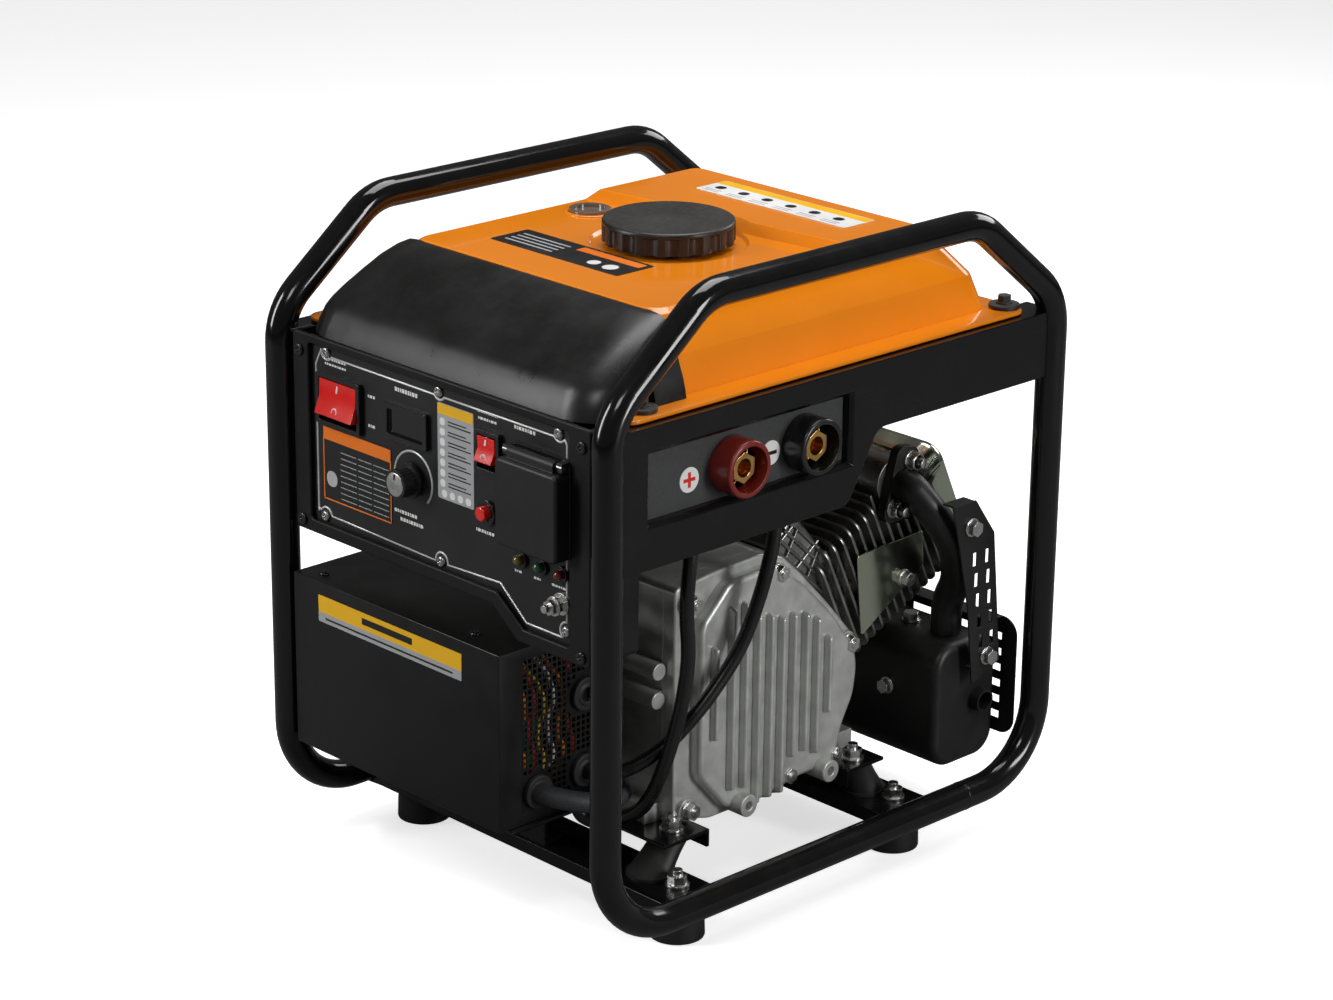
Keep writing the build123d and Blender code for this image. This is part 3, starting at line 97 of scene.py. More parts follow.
def add_studio():
    """Pale floor, white surroundings and the softboxes."""
    bpy.ops.mesh.primitive_plane_add(size=16.0, location=(0, 0, -0.0005))
    floor = bpy.context.object
    floor.name = "studio_floor"
    floor.data.materials.append(studio_material())
    world = bpy.data.worlds.new("studio_world")
    world.use_nodes = True
    tree = world.node_tree
    dim = tree.nodes["Background"]
    dim.inputs["Color"].default_value = (1.0, 1.0, 1.0, 1.0)
    dim.inputs["Strength"].default_value = 0.08
    backdrop = tree.nodes.new("ShaderNodeBackground")
    backdrop.inputs["Strength"].default_value = 1.0
    backdrop.inputs["Color"].default_value = (1.0, 1.0, 1.0, 1.0)
    seen = tree.nodes.new("ShaderNodeLightPath")
    mix = tree.nodes.new("ShaderNodeMixShader")
    tree.links.new(seen.outputs["Is Camera Ray"], mix.inputs["Fac"])
    tree.links.new(dim.outputs["Background"], mix.inputs[1])
    tree.links.new(backdrop.outputs["Background"], mix.inputs[2])
    tree.links.new(mix.outputs["Shader"], tree.nodes["World Output"].inputs["Surface"])
    bpy.context.scene.world = world
    bpy.context.scene.view_settings.view_transform = "Standard"
    middle = (0.0, 0.0, 0.28)
    add_softbox("softbox_top", (-0.2, 0.5, 2.2), middle, (1.3, 1.3), 28)
    add_softbox("softbox_left", (-1.3, -2.0, 1.3), middle, (0.5, 1.6), 34)
    add_softbox("softbox_right", (2.4, 0.5, 0.9), middle, (0.5, 1.5), 30)
    add_softbox("softbox_front", (0.95, -1.5, 2.1), middle, (0.6, 0.6), 8)
    add_softbox("softbox_back", (0.2, 2.4, 1.4), middle, (1.4, 0.8), 16)


# ---- shader groups ----

def new_group(name, inputs, outputs):
    """Node group with float or vector inputs and outputs."""
    tree = bpy.data.node_groups.new(name, "ShaderNodeTree")
    for label, kind, value in inputs:
        socket = tree.interface.new_socket(name=label, in_out="INPUT", socket_type=kind)
        if value is not None:
            socket.default_value = value
    for label, kind in outputs:
        tree.interface.new_socket(name=label, in_out="OUTPUT", socket_type=kind)
    return tree, tree.nodes.new("NodeGroupInput"), tree.nodes.new("NodeGroupOutput")


def blotch_group():
    """Slow variation over a surface: a large and a small noise, as one mask."""
    tree, start, end = new_group(
        "blotches",
        [("Vector", "NodeSocketVector", None), ("Scale", "NodeSocketFloat", 20.0)],
        [("Mask", "NodeSocketFloat")],
    )
    noise = tree.nodes.new("ShaderNodeTexNoise")
    noise.inputs["Detail"].default_value = 6.0
    noise.inputs["Roughness"].default_value = 0.6
    tree.links.new(start.outputs["Vector"], noise.inputs["Vector"])
    tree.links.new(start.outputs["Scale"], noise.inputs["Scale"])
    spread = tree.nodes.new("ShaderNodeMapRange")
    spread.inputs["From Min"].default_value = 0.33
    spread.inputs["From Max"].default_value = 0.67
    tree.links.new(noise.outputs["Fac"], spread.inputs["Value"])
    tree.links.new(spread.outputs["Result"], end.inputs["Mask"])
    return tree


def grain_group():
    """Fine grain of a moulded, cast or painted surface, as a height."""
    tree, start, end = new_group(
        "grain",
        [("Vector", "NodeSocketVector", None), ("Scale", "NodeSocketFloat", 900.0),
         ("Pits", "NodeSocketFloat", 0.3)],
        [("Height", "NodeSocketFloat")],
    )
    noise = tree.nodes.new("ShaderNodeTexNoise")
    noise.inputs["Detail"].default_value = 3.0
    cells = tree.nodes.new("ShaderNodeTexVoronoi")
    cells.feature = "SMOOTH_F1"
    for texture in (noise, cells):
        tree.links.new(start.outputs["Vector"], texture.inputs["Vector"])
        tree.links.new(start.outputs["Scale"], texture.inputs["Scale"])
    mix = tree.nodes.new("ShaderNodeMix")
    tree.links.new(start.outputs["Pits"], mix.inputs["Factor"])
    tree.links.new(noise.outputs["Fac"], mix.inputs["A"])
    tree.links.new(cells.outputs["Distance"], mix.inputs["B"])
    tree.links.new(mix.outputs["Result"], end.inputs["Height"])
    return tree


def dust_group():
    """Light dust that settles on faces that look up, as a mask."""
    tree, start, end = new_group(
        "dust",
        [("Vector", "NodeSocketVector", None), ("Amount", "NodeSocketFloat", 0.2)],
        [("Mask", "NodeSocketFloat")],
    )
    surface = tree.nodes.new("ShaderNodeNewGeometry")
    split = tree.nodes.new("ShaderNodeSeparateXYZ")
    tree.links.new(surface.outputs["Normal"], split.inputs["Vector"])
    upward = tree.nodes.new("ShaderNodeMapRange")
    upward.inputs["From Min"].default_value = 0.45
    tree.links.new(split.outputs["Z"], upward.inputs["Value"])
    specks = tree.nodes.new("ShaderNodeTexNoise")
    specks.inputs["Scale"].default_value = 260.0
    specks.inputs["Detail"].default_value = 5.0
    tree.links.new(start.outputs["Vector"], specks.inputs["Vector"])
    settled = tree.nodes.new("ShaderNodeMath")
    settled.operation = "MULTIPLY"
    tree.links.new(upward.outputs["Result"], settled.inputs[0])
    tree.links.new(specks.outputs["Fac"], settled.inputs[1])
    amount = tree.nodes.new("ShaderNodeMath")
    amount.operation = "MULTIPLY"
    tree.links.new(settled.outputs["Value"], amount.inputs[0])
    tree.links.new(start.outputs["Amount"], amount.inputs[1])
    tree.links.new(amount.outputs["Value"], end.inputs["Mask"])
    return tree


BLOTCHES = blotch_group()
GRAIN = grain_group()
DUST = dust_group()
MATERIALS = {}


def group_node(tree, group, vector, **values):
    """Places a shader group in a material, reading the given coordinates."""
    node = tree.nodes.new("ShaderNodeGroup")
    node.node_tree = group
    tree.links.new(vector, node.inputs["Vector"])
    for label, value in values.items():
        node.inputs[label].default_value = value
    return node


def finish(name, colour, rough, metal=0.0, coat=0.0, grain=900.0, depth=0.02, pits=0.3, tint=0.12,
           patch=25.0, rough_spread=0.08, dust=0.0, sheen=0.0, clear=0.0, specular=0.5):
    """Procedural finish: colour and gloss that vary over the surface, fine grain and a little dust."""
    material = bpy.data.materials.new(name)
    material.use_nodes = True
    tree = material.node_tree
    shader = tree.nodes["Principled BSDF"]
    shader.inputs["Metallic"].default_value = metal
    shader.inputs["Coat Weight"].default_value = coat
    shader.inputs["Coat Roughness"].default_value = 0.06
    shader.inputs["Sheen Weight"].default_value = sheen
    shader.inputs["Transmission Weight"].default_value = clear
    shader.inputs["Specular IOR Level"].default_value = specular
    place = tree.nodes.new("ShaderNodeTexCoord").outputs["Object"]
    blotches = group_node(tree, BLOTCHES, place, Scale=patch)
    fine = group_node(tree, GRAIN, place, Scale=grain, Pits=pits)
    settled = group_node(tree, DUST, place, Amount=dust)
    shades = tree.nodes.new("ShaderNodeMix")
    shades.data_type = "RGBA"
    shades.inputs["A"].default_value = (*[c * (1 - tint) for c in colour], 1)
    shades.inputs["B"].default_value = (*[min(1.0, c * (1 + tint)) for c in colour], 1)
    tree.links.new(blotches.outputs["Mask"], shades.inputs["Factor"])
    dusty = tree.nodes.new("ShaderNodeMix")
    dusty.data_type = "RGBA"
    dusty.inputs["B"].default_value = (0.42, 0.40, 0.37, 1)
    tree.links.new(settled.outputs["Mask"], dusty.inputs["Factor"])
    tree.links.new(shades.outputs["Result"], dusty.inputs["A"])
    tree.links.new(dusty.outputs["Result"], shader.inputs["Base Color"])
    gloss = tree.nodes.new("ShaderNodeMapRange")
    gloss.inputs["To Min"].default_value = max(0.03, rough - rough_spread)
    gloss.inputs["To Max"].default_value = min(1.0, rough + rough_spread)
    tree.links.new(blotches.outputs["Mask"], gloss.inputs["Value"])
    tree.links.new(gloss.outputs["Result"], shader.inputs["Roughness"])
    bump = tree.nodes.new("ShaderNodeBump")
    bump.inputs["Strength"].default_value = 0.6
    bump.inputs["Distance"].default_value = depth * MM
    tree.links.new(fine.outputs["Height"], bump.inputs["Height"])
    tree.links.new(bump.outputs["Normal"], shader.inputs["Normal"])
    MATERIALS[name] = material
    return material


def studio_material():
    """Plain pale floor, with a little light of its own where it is seen directly."""
    material = finish("studio_floor", (0.93, 0.93, 0.93), 0.8, tint=0.004, depth=0.01, patch=2.0, specular=0.2)
    tree = material.node_tree
    shader = tree.nodes["Principled BSDF"]
    shader.inputs["Emission Color"].default_value = (1.0, 1.0, 1.0, 1.0)
    seen = tree.nodes.new("ShaderNodeLightPath")
    glow = tree.nodes.new("ShaderNodeMath")
    glow.operation = "MULTIPLY"
    glow.inputs[1].default_value = 0.66
    tree.links.new(seen.outputs["Is Camera Ray"], glow.inputs[0])
    tree.links.new(glow.outputs["Value"], shader.inputs["Emission Strength"])
    surface = tree.nodes["Material Output"].inputs["Surface"]
    bounce = tree.nodes.new("ShaderNodeBsdfDiffuse")
    bounce.inputs["Color"].default_value = (0.2, 0.2, 0.2, 1.0)
    either = tree.nodes.new("ShaderNodeMixShader")
    tree.links.new(seen.outputs["Is Camera Ray"], either.inputs["Fac"])
    tree.links.new(bounce.outputs["BSDF"], either.inputs[1])
    tree.links.new(shader.outputs["BSDF"], either.inputs[2])
    tree.links.new(either.outputs["Shader"], surface)
    return material


def make_finishes():
    """One finish for each material slot of the record, and those of the labels and inserts."""
    finish("frame_black", (0.004, 0.004, 0.0045), 0.15, coat=0.5, grain=160, depth=0.05, tint=0.1, dust=0.01,
           specular=0.3)
    finish("rail_black", (0.004, 0.004, 0.0045), 0.22, coat=0.25, grain=200, depth=0.06, tint=0.1, dust=0.01,
           specular=0.3)
    finish("tank_orange", (0.93, 0.265, 0.006), 0.20, coat=0.5, grain=90, depth=0.05, tint=0.03, patch=8,
           rough_spread=0.04)
    finish("cap_black", (0.010, 0.010, 0.010), 0.38, grain=1400, depth=0.03, tint=0.15, dust=0.12)
    finish("gauge_lens", (0.20, 0.15, 0.12), 0.12, coat=0.8, grain=400, depth=0.01)
    finish("rubber_black", (0.012, 0.012, 0.012), 0.55, grain=700, depth=0.05, tint=0.2, dust=0.15)
    finish("zinc", (0.70, 0.70, 0.68), 0.28, metal=1.0, grain=1200, depth=0.03, tint=0.12, patch=120)
    finish("zinc_yellow", (0.62, 0.66, 0.52), 0.16, metal=1.0, grain=500, depth=0.02, tint=0.08, patch=30)
    finish("fascia_black", (0.006, 0.006, 0.0065), 0.42, grain=1500, depth=0.05, pits=0.6, tint=0.12, dust=0.02,
           specular=0.3)
    finish("hood_satin", (0.006, 0.006, 0.006), 0.33, grain=1500, depth=0.03, pits=0.3, tint=0.1, dust=0.02)
    finish("panel_charcoal", (0.010, 0.010, 0.011), 0.40, grain=1600, depth=0.03, pits=0.5, tint=0.1)
    finish("screws", (0.45, 0.45, 0.44), 0.30, metal=1.0, grain=900, depth=0.03, tint=0.2, patch=200)
    finish("switch_black", (0.008, 0.008, 0.008), 0.25, coat=0.2, grain=900, depth=0.01)
    finish("rocker_red", (0.78, 0.012, 0.008), 0.22, coat=0.5, grain=500, depth=0.01, tint=0.1)
    finish("display_smoke", (0.004, 0.004, 0.005), 0.10, coat=0.6, grain=700, depth=0.005)
    finish("knob_black", (0.010, 0.010, 0.010), 0.35, grain=1300, depth=0.03)
    finish("button_red", (0.80, 0.016, 0.010), 0.22, coat=0.5, grain=700, depth=0.01)
    finish("outlet_black", (0.007, 0.007, 0.008), 0.45, grain=1800, depth=0.05, pits=0.6)
    finish("lamp_holder", (0.008, 0.008, 0.008), 0.25, coat=0.2, grain=900, depth=0.01)
    finish("socket_grey", (0.040, 0.041, 0.043), 0.55, grain=1100, depth=0.25, pits=0.8, tint=0.25, patch=900)
    finish("socket_red", (0.20, 0.016, 0.010), 0.32, coat=0.2, grain=900, depth=0.02)
    finish("socket_black", (0.010, 0.010, 0.010), 0.30, coat=0.2, grain=900, depth=0.02)
    finish("brass", (0.83, 0.50, 0.17), 0.22, metal=1.0, grain=900, depth=0.02, tint=0.1, patch=90)
    finish("case_black", (0.006, 0.006, 0.006), 0.36, grain=1300, depth=0.05, pits=0.5, dust=0.03, specular=0.35)
    finish("board_green", (0.02, 0.12, 0.06), 0.35, grain=700, depth=0.02, tint=0.3, patch=300)
    finish("cable_black", (0.008, 0.008, 0.008), 0.27, grain=600, depth=0.03, dust=0.04)
    finish("cast_aluminium", (0.60, 0.61, 0.585), 0.40, metal=0.6, grain=1000, depth=0.14, pits=0.7, tint=0.10,
           patch=60)
    finish("fin_aluminium", (0.30, 0.30, 0.285), 0.32, metal=0.9, grain=900, depth=0.08, tint=0.16, patch=60)
    finish("steel", (0.45, 0.45, 0.44), 0.30, metal=1.0, grain=900, depth=0.03)
    finish("copper_windings", (0.35, 0.13, 0.05), 0.35, grain=900, depth=0.1, tint=0.3)
    finish("recoil_black", (0.012, 0.012, 0.012), 0.35, grain=900, depth=0.04, dust=0.05)
    finish("air_cleaner_black", (0.014, 0.014, 0.014), 0.45, grain=1300, depth=0.05, dust=0.06)
    finish("exhaust_black", (0.007, 0.007, 0.007), 0.44, grain=1100, depth=0.06, tint=0.25, dust=0.05)
    finish("sleeve_grey", (0.030, 0.031, 0.034), 0.60, grain=700, depth=0.35, pits=0.9, tint=0.3, patch=800)
    finish("print_silver", (0.60, 0.60, 0.60), 0.35, metal=0.3, grain=900, depth=0.01)
    finish("print_white", (0.85, 0.85, 0.84), 0.35, grain=900, depth=0.01, tint=0.03)
    finish("print_grey", (0.42, 0.43, 0.44), 0.40, grain=900, depth=0.01, tint=0.05)
    finish("print_black", (0.010, 0.010, 0.010), 0.35, grain=900, depth=0.01)
    finish("print_yellow", (0.95, 0.52, 0.01), 0.35, grain=900, depth=0.01, tint=0.04)
    finish("print_orange", (0.90, 0.20, 0.01), 0.35, grain=900, depth=0.01, tint=0.04)
    finish("print_red", (0.75, 0.02, 0.01), 0.35, grain=900, depth=0.01, tint=0.04)
    finish("lamp_green", (0.02, 0.10, 0.05), 0.15, coat=0.5, grain=900, depth=0.01)
    finish("lamp_red", (0.14, 0.012, 0.010), 0.15, coat=0.5, grain=900, depth=0.01)
    finish("lamp_amber", (0.16, 0.11, 0.015), 0.15, coat=0.5, grain=900, depth=0.01)
    finish("wire_red", (0.55, 0.02, 0.01), 0.35, grain=900, depth=0.02)
    finish("wire_orange", (0.80, 0.20, 0.01), 0.35, grain=900, depth=0.02)
    finish("wire_yellow", (0.80, 0.55, 0.02), 0.35, grain=900, depth=0.02)
    finish("wire_white", (0.75, 0.75, 0.72), 0.35, grain=900, depth=0.02)


# ---- modelling helpers ----

def clear_selection():
    """Leaves nothing selected."""
    if bpy.context.object and bpy.context.object.mode != "OBJECT":
        bpy.ops.object.mode_set(mode="OBJECT")
    bpy.ops.object.select_all(action="DESELECT")


def make_active(piece):
    """Selects one piece alone."""
    clear_selection()
    piece.select_set(True)
    bpy.context.view_layer.objects.active = piece


def apply_modifier(piece, kind, **values):
    """Adds one modifier and applies it."""
    make_active(piece)
    modifier = piece.modifiers.new(kind.lower(), kind)
    for label, value in values.items():
        setattr(modifier, label, value)
    bpy.ops.object.modifier_apply(modifier=modifier.name)


def smooth(piece, degrees=32):
    """Smooth shading that keeps the sharp edges."""
    make_active(piece)
    bpy.ops.object.shade_smooth_by_angle(angle=math.radians(degrees))


def settle(piece, name, material, node=None, body="frame", replaces=()):
    """Applies a piece's place, names it, gives it its finish and ties it to its body."""
    make_active(piece)
    bpy.ops.object.transform_apply(location=True, rotation=True, scale=True)
    piece.name = name
    piece.data.name = name
    piece.data.materials.clear()
    piece.data.materials.append(MATERIALS[material])
    if node:
        body = BODY_OF[node]
    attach(piece, body)
    if replaces:
        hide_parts(*replaces)
    return piece


def open_fascia(piece):
    """Takes the hood off the fascia's copy, to be drawn again with its large radii."""
    bpy.ops.object.mode_set(mode="EDIT")
    bpy.ops.mesh.select_all(action="SELECT")
    bpy.ops.mesh.bisect(plane_co=at(0, 0, 407.4), plane_no=(0, 0, 1), clear_outer=True)
    bpy.ops.object.mode_set(mode="OBJECT")


def chamfer_recess(piece):
    """Slopes the wall of the recess round the socket plate."""
    face_x = at(178, 0, 0).x

    def on_rim(one, other):
        flat = abs(one.x - face_x) < 1e-5 and abs(other.x - face_x) < 1e-5
        inside = all(at(0, -192, 0).y < p.y < at(0, 8, 0).y and 335 * MM < p.z < 390 * MM for p in (one, other))
        return flat and inside

    select_edges(piece, on_rim)
    bpy.ops.mesh.bevel(offset=3.2 * MM, segments=1)
    bpy.ops.object.mode_set(mode="OBJECT")


FIRST_ROUNDING = {"front_fascia": open_fascia, "right_side_rail": chamfer_recess}


def softened(node, width, segments=2):
    """Copy of a CAD node with its sharp edges rounded."""
    mesh = frame["nodes"][node].data.copy()
    piece = bpy.data.objects.new(node + "_rounded", mesh)
    bpy.context.scene.collection.objects.link(piece)
    make_active(piece)
    bpy.ops.object.mode_set(mode="EDIT")
    bpy.ops.mesh.select_all(action="SELECT")
    bpy.ops.mesh.remove_doubles(threshold=0.00001)
    bpy.ops.mesh.dissolve_limited(angle_limit=math.radians(0.6))
    bpy.ops.object.mode_set(mode="OBJECT")
    if node in FIRST_ROUNDING:
        FIRST_ROUNDING[node](piece)
    apply_modifier(piece, "BEVEL", width=width * MM, segments=segments, limit_method="ANGLE",
                   angle_limit=math.radians(35), use_clamp_overlap=False, harden_normals=False)
    smooth(piece, 40)
    apply_modifier(piece, "WEIGHTED_NORMAL", keep_sharp=True)
    return settle(piece, node + "_rounded", SLOT_OF[node], node=node, replaces=(node,))


def box_piece(x0, x1, y0, y1, z0, z1):
    """Box between two corners, in millimetres, left in object mode."""
    clear_selection()
    bpy.ops.mesh.primitive_cube_add(size=1.0, location=at((x0 + x1) / 2, (y0 + y1) / 2, (z0 + z1) / 2))
    piece = bpy.context.object
    piece.scale = ((x1 - x0) * MM, (y1 - y0) * MM, (z1 - z0) * MM)
    make_active(piece)
    bpy.ops.object.transform_apply(location=True, rotation=True, scale=True)
    return piece


def bar_piece(start, end, radius, sides=48):
    """Round bar between two places in millimetres."""
    clear_selection()
    first, last = at(*start), at(*end)
    turn = (last - first).to_track_quat("Z", "Y")
    bpy.ops.mesh.primitive_cylinder_add(vertices=sides, radius=radius * MM, depth=(last - first).length,
                                        location=(first + last) / 2, rotation=turn.to_euler())
    piece = bpy.context.object
    make_active(piece)
    bpy.ops.object.transform_apply(location=True, rotation=True, scale=True)
    return piece


def join(pieces):
    """Joins pieces into the first one."""
    make_active(pieces[0])
    for piece in pieces[1:]:
        piece.select_set(True)
    bpy.ops.object.join()
    return pieces[0]


def select_faces(piece, chosen):
    """In edit mode, selects the faces whose centre and normal pass a test."""
    make_active(piece)
    bpy.ops.object.mode_set(mode="EDIT")
    bpy.ops.mesh.select_mode(type="FACE")
    bpy.ops.mesh.select_all(action="DESELECT")
    bpy.ops.object.mode_set(mode="OBJECT")
    for face in piece.data.polygons:
        face.select = chosen(face.center, face.normal)
    bpy.ops.object.mode_set(mode="EDIT")


def select_edges(piece, chosen):
    """In edit mode, selects the edges whose two ends pass a test."""
    make_active(piece)
    bpy.ops.object.mode_set(mode="EDIT")
    bpy.ops.mesh.select_mode(type="EDGE")
    bpy.ops.mesh.select_all(action="DESELECT")
    bpy.ops.object.mode_set(mode="OBJECT")
    points = piece.data.vertices
    for edge in piece.data.edges:
        edge.select = chosen(points[edge.vertices[0]].co, points[edge.vertices[1]].co)
    bpy.ops.object.mode_set(mode="EDIT")


def leave_edit():
    """Back to object mode with outward normals."""
    bpy.ops.mesh.select_all(action="SELECT")
    bpy.ops.mesh.normals_make_consistent(inside=False)
    bpy.ops.object.mode_set(mode="OBJECT")


def pressed_body(levels, corner, segments=8):
    """Body drawn up through rounded rectangles given as z, half width, front and back."""
    z, half_x, front, back = levels[0]
    clear_selection()
    bpy.ops.mesh.primitive_plane_add(size=1.0, location=at(0, (front + back) / 2, z))
    piece = bpy.context.object
    piece.scale = (2 * half_x * MM, (back - front) * MM, 1)
    make_active(piece)
    bpy.ops.object.transform_apply(location=True, rotation=True, scale=True)
    bpy.ops.object.mode_set(mode="EDIT")
    bpy.ops.mesh.select_all(action="SELECT")
    bpy.ops.mesh.bevel(offset=corner * MM, segments=segments, affect="VERTICES")
    bpy.ops.mesh.select_all(action="SELECT")
    for low, high in zip(levels, levels[1:]):
        bpy.ops.mesh.extrude_region_move(TRANSFORM_OT_translate={"value": (0, 0, (high[0] - low[0]) * MM)})
        centre = at(0, (low[2] + low[3]) / 2, high[0])
        widths = (high[1] / low[1], (high[3] - high[2]) / (low[3] - low[2]), 1)
        bpy.ops.transform.resize(value=widths, center_override=centre)
        shift = (high[2] + high[3] - low[2] - low[3]) / 2
        bpy.ops.transform.translate(value=(0, shift * MM, 0))
    leave_edit()
    return piece


def tube_along(points, radius, sides=3, straight=False):
    """Round wire through points in millimetres, made a mesh."""
    curve = bpy.data.curves.new("wire", "CURVE")
    curve.dimensions = "3D"
    spline = curve.splines.new("POLY" if straight else "NURBS")
    spline.points.add(len(points) - 1)
    for point, place in zip(spline.points, points):
        point.co = (*at(*place), 1.0)
    spline.order_u = 3
    spline.use_endpoint_u = True
    curve.bevel_depth = radius * MM
    curve.bevel_resolution = sides
    curve.use_fill_caps = True
    piece = bpy.data.objects.new("wire", curve)
    bpy.context.scene.collection.objects.link(piece)
    make_active(piece)
    bpy.ops.object.convert(target="MESH")
    return bpy.context.object


# ---- fuel tank ----

CAP_X, CAP_Y = 5.0, -8.0
TANK_TOP = 466.0
TANK_CROWN = 474.0
PLATEAU_FRONT = 44.0


def make_tank():
    """Pressed tank: drawn sides, a raised rear half and a dish round the filler."""
    tank = pressed_body([
        (410.5, 150.5, -150.5, 182.5), (437, 143, -147, 174.5), (455, 134, -142, 158), (462.5, 130, -139.3, 150.5),
        (TANK_TOP - 0.1, 124.5, -137.2, 146.5),
    ], 15)
    make_active(tank)
    bpy.ops.object.mode_set(mode="EDIT")
    bpy.ops.mesh.select_all(action="SELECT")
    bpy.ops.mesh.bisect(plane_co=at(0, PLATEAU_FRONT, TANK_TOP), plane_no=(-0.12, 1, 0))
    bpy.ops.object.mode_set(mode="OBJECT")
    top = TANK_TOP * MM
    rear = at(0, PLATEAU_FRONT, 0).y
    select_faces(tank, lambda centre, normal: normal.z > 0.9 and centre.z > top - 0.001 and centre.y > rear)
    bpy.ops.mesh.inset(thickness=3.5 * MM, use_boundary=True)
    bpy.ops.transform.translate(value=(0, 0, (TANK_CROWN - TANK_TOP) * MM - 0.0001))
    bpy.ops.transform.resize(value=(0.965, 0.93, 1), center_override=at(0, 96, TANK_CROWN))
    leave_edit()
    apply_modifier(tank, "BEVEL", width=4.5 * MM, segments=5, limit_method="ANGLE", angle_limit=math.radians(7),
                   use_clamp_overlap=True)
    dish = bar_piece((CAP_X, CAP_Y, TANK_TOP - 2.4), (CAP_X, CAP_Y, TANK_TOP + 20), 56.5, 96)
    seat = pressed_seat(dish)
    apply_modifier(tank, "BOOLEAN", object=seat, operation="DIFFERENCE", solver="EXACT")
    bpy.data.objects.remove(seat)
    gauge = bar_piece((-96, 8, TANK_TOP - 3), (-96, 8, TANK_TOP + 20), 16.1, 64)
    apply_modifier(tank, "BOOLEAN", object=gauge, operation="DIFFERENCE", solver="EXACT")
    bpy.data.objects.remove(gauge)
    smooth(tank, 24)
    apply_modifier(tank, "WEIGHTED_NORMAL", keep_sharp=True)
    settle(tank, "tank_upper_half", "tank_orange", node="fuel_tank", replaces=("fuel_tank",))
    flange = pressed_body([(408, 171.5, -204.5, 199.5), (410.9, 171.5, -204.5, 199.5)], 12)
    apply_modifier(flange, "BEVEL", width=0.9 * MM, segments=3, limit_method="ANGLE")
    smooth(flange)
    settle(flange, "tank_seam_flange", "tank_orange", node="fuel_tank")
    # Lower half: painted shade. The real half is orange like the upper one; it is drawn in the black recoil finish so
    # that it reads as the shade under the upper half and puts no orange reflection on the fins.
    lower = pressed_body([(353, 112, -124, 146), (358, 116, -128, 150), (408.5, 116, -128, 150)], 20)
    apply_modifier(lower, "BEVEL", width=4 * MM, segments=3, limit_method="ANGLE")
    smooth(lower)
    settle(lower, "tank_lower_half_painted_shade", "recoil_black", node="fuel_tank")
    boss = bar_piece((-96, 8, TANK_TOP - 3), (-96, 8, TANK_TOP + 0.9), 20, 64)
    select_faces(boss, lambda centre, normal: normal.z > 0.9)
    bpy.ops.mesh.inset(thickness=3.9 * MM)
    bpy.ops.mesh.extrude_region_move(TRANSFORM_OT_translate={"value": (0, 0, -3.5 * MM)})
    leave_edit()
    apply_modifier(boss, "BEVEL", width=1.0 * MM, segments=3, limit_method="ANGLE")
    smooth(boss)
    settle(boss, "gauge_seat", "tank_orange", node="fuel_tank")


def pressed_seat(dish):
    """Widens the upper end of the dish cutter so that the dish has a sloping rim."""
    rim = at(0, 0, TANK_TOP + 10).z
    select_faces(dish, lambda centre, normal: normal.z > 0.9 and centre.z > rim)
    bpy.ops.transform.resize(value=(1.35, 1.35, 1), center_override=at(CAP_X, CAP_Y, TANK_TOP + 20))
    leave_edit()
    return dish


def print_plate(name, material, x0, x1, y0, y1, z, thick=0.35, corner=2.0):
    """Thin rounded plate that lies on a flat top."""
    plate = pressed_body([(z, (x1 - x0) / 2, y0, y1), (z + thick, (x1 - x0) / 2, y0, y1)], corner, 4)
    plate.location.x += (x0 + x1) / 2 * MM
    return settle(plate, name, material, node="fuel_tank")


def front_plate(name, material, x0, x1, z0, z1, y, thick=0.35, corner=1.5, node="control_panel"):
    """Thin rounded plate on a surface that faces the front."""
    plate = box_piece(x0, x1, y - thick, y, z0, z1)
    left, right = at(x0, 0, 0).x, at(x1, 0, 0).x
    low, high = z0 * MM, z1 * MM

    def at_corner(one, other):
        both_x = abs(one.x - other.x) < 1e-6 and min(abs(one.x - left), abs(one.x - right)) < 1e-5
        both_z = abs(one.z - other.z) < 1e-6 and min(abs(one.z - low), abs(one.z - high)) < 1e-5
        return both_x and both_z

    select_edges(plate, at_corner)
    bpy.ops.mesh.bevel(offset=corner * MM, segments=4)
    leave_edit()
    return settle(plate, name, material, node=node)


def tank_labels():
    """Blank information plates on the tank's top, with plain bars in place of any print."""
    z = TANK_TOP - 0.05
    print_plate("front_plate", "print_black", -87, 47, -99, -62, z)
    print_plate("front_plate_band", "print_orange", -22, 43, -74, -65, z + 0.2, 0.25, 0.5)
    for row in range(4):
        print_plate(f"front_plate_bar_{row}", "print_grey", -80, -30, -91 + row * 6, -89 + row * 6, z + 0.2, 0.2, 0.3)
    print_plate("front_plate_seal", "print_white", 22, 34, -93, -81, z + 0.2, 0.2, 5.5)
    print_plate("front_plate_mark", "print_white", 6, 16, -92, -82, z + 0.2, 0.2, 4.5)
    z = TANK_CROWN - 0.05
    print_plate("rear_plate", "print_white", -70, 85, 92, 125, z)
    print_plate("rear_plate_band", "print_yellow", -69.5, 84.5, 115, 124.5, z + 0.2, 0.25, 0.5)
    for column in range(6):
        x = -62 + column * 24.5
        print_plate(f"rear_plate_sign_{column}", "print_black", x, x + 9, 103, 111, z + 0.2, 0.2, 3.5)
        for row in range(2):
            y = 95 + row * 3.4
            print_plate(f"rear_plate_bar_{column}_{row}", "print_grey", x - 4, x + 13, y, y + 1.4, z + 0.2, 0.2, 0.3)


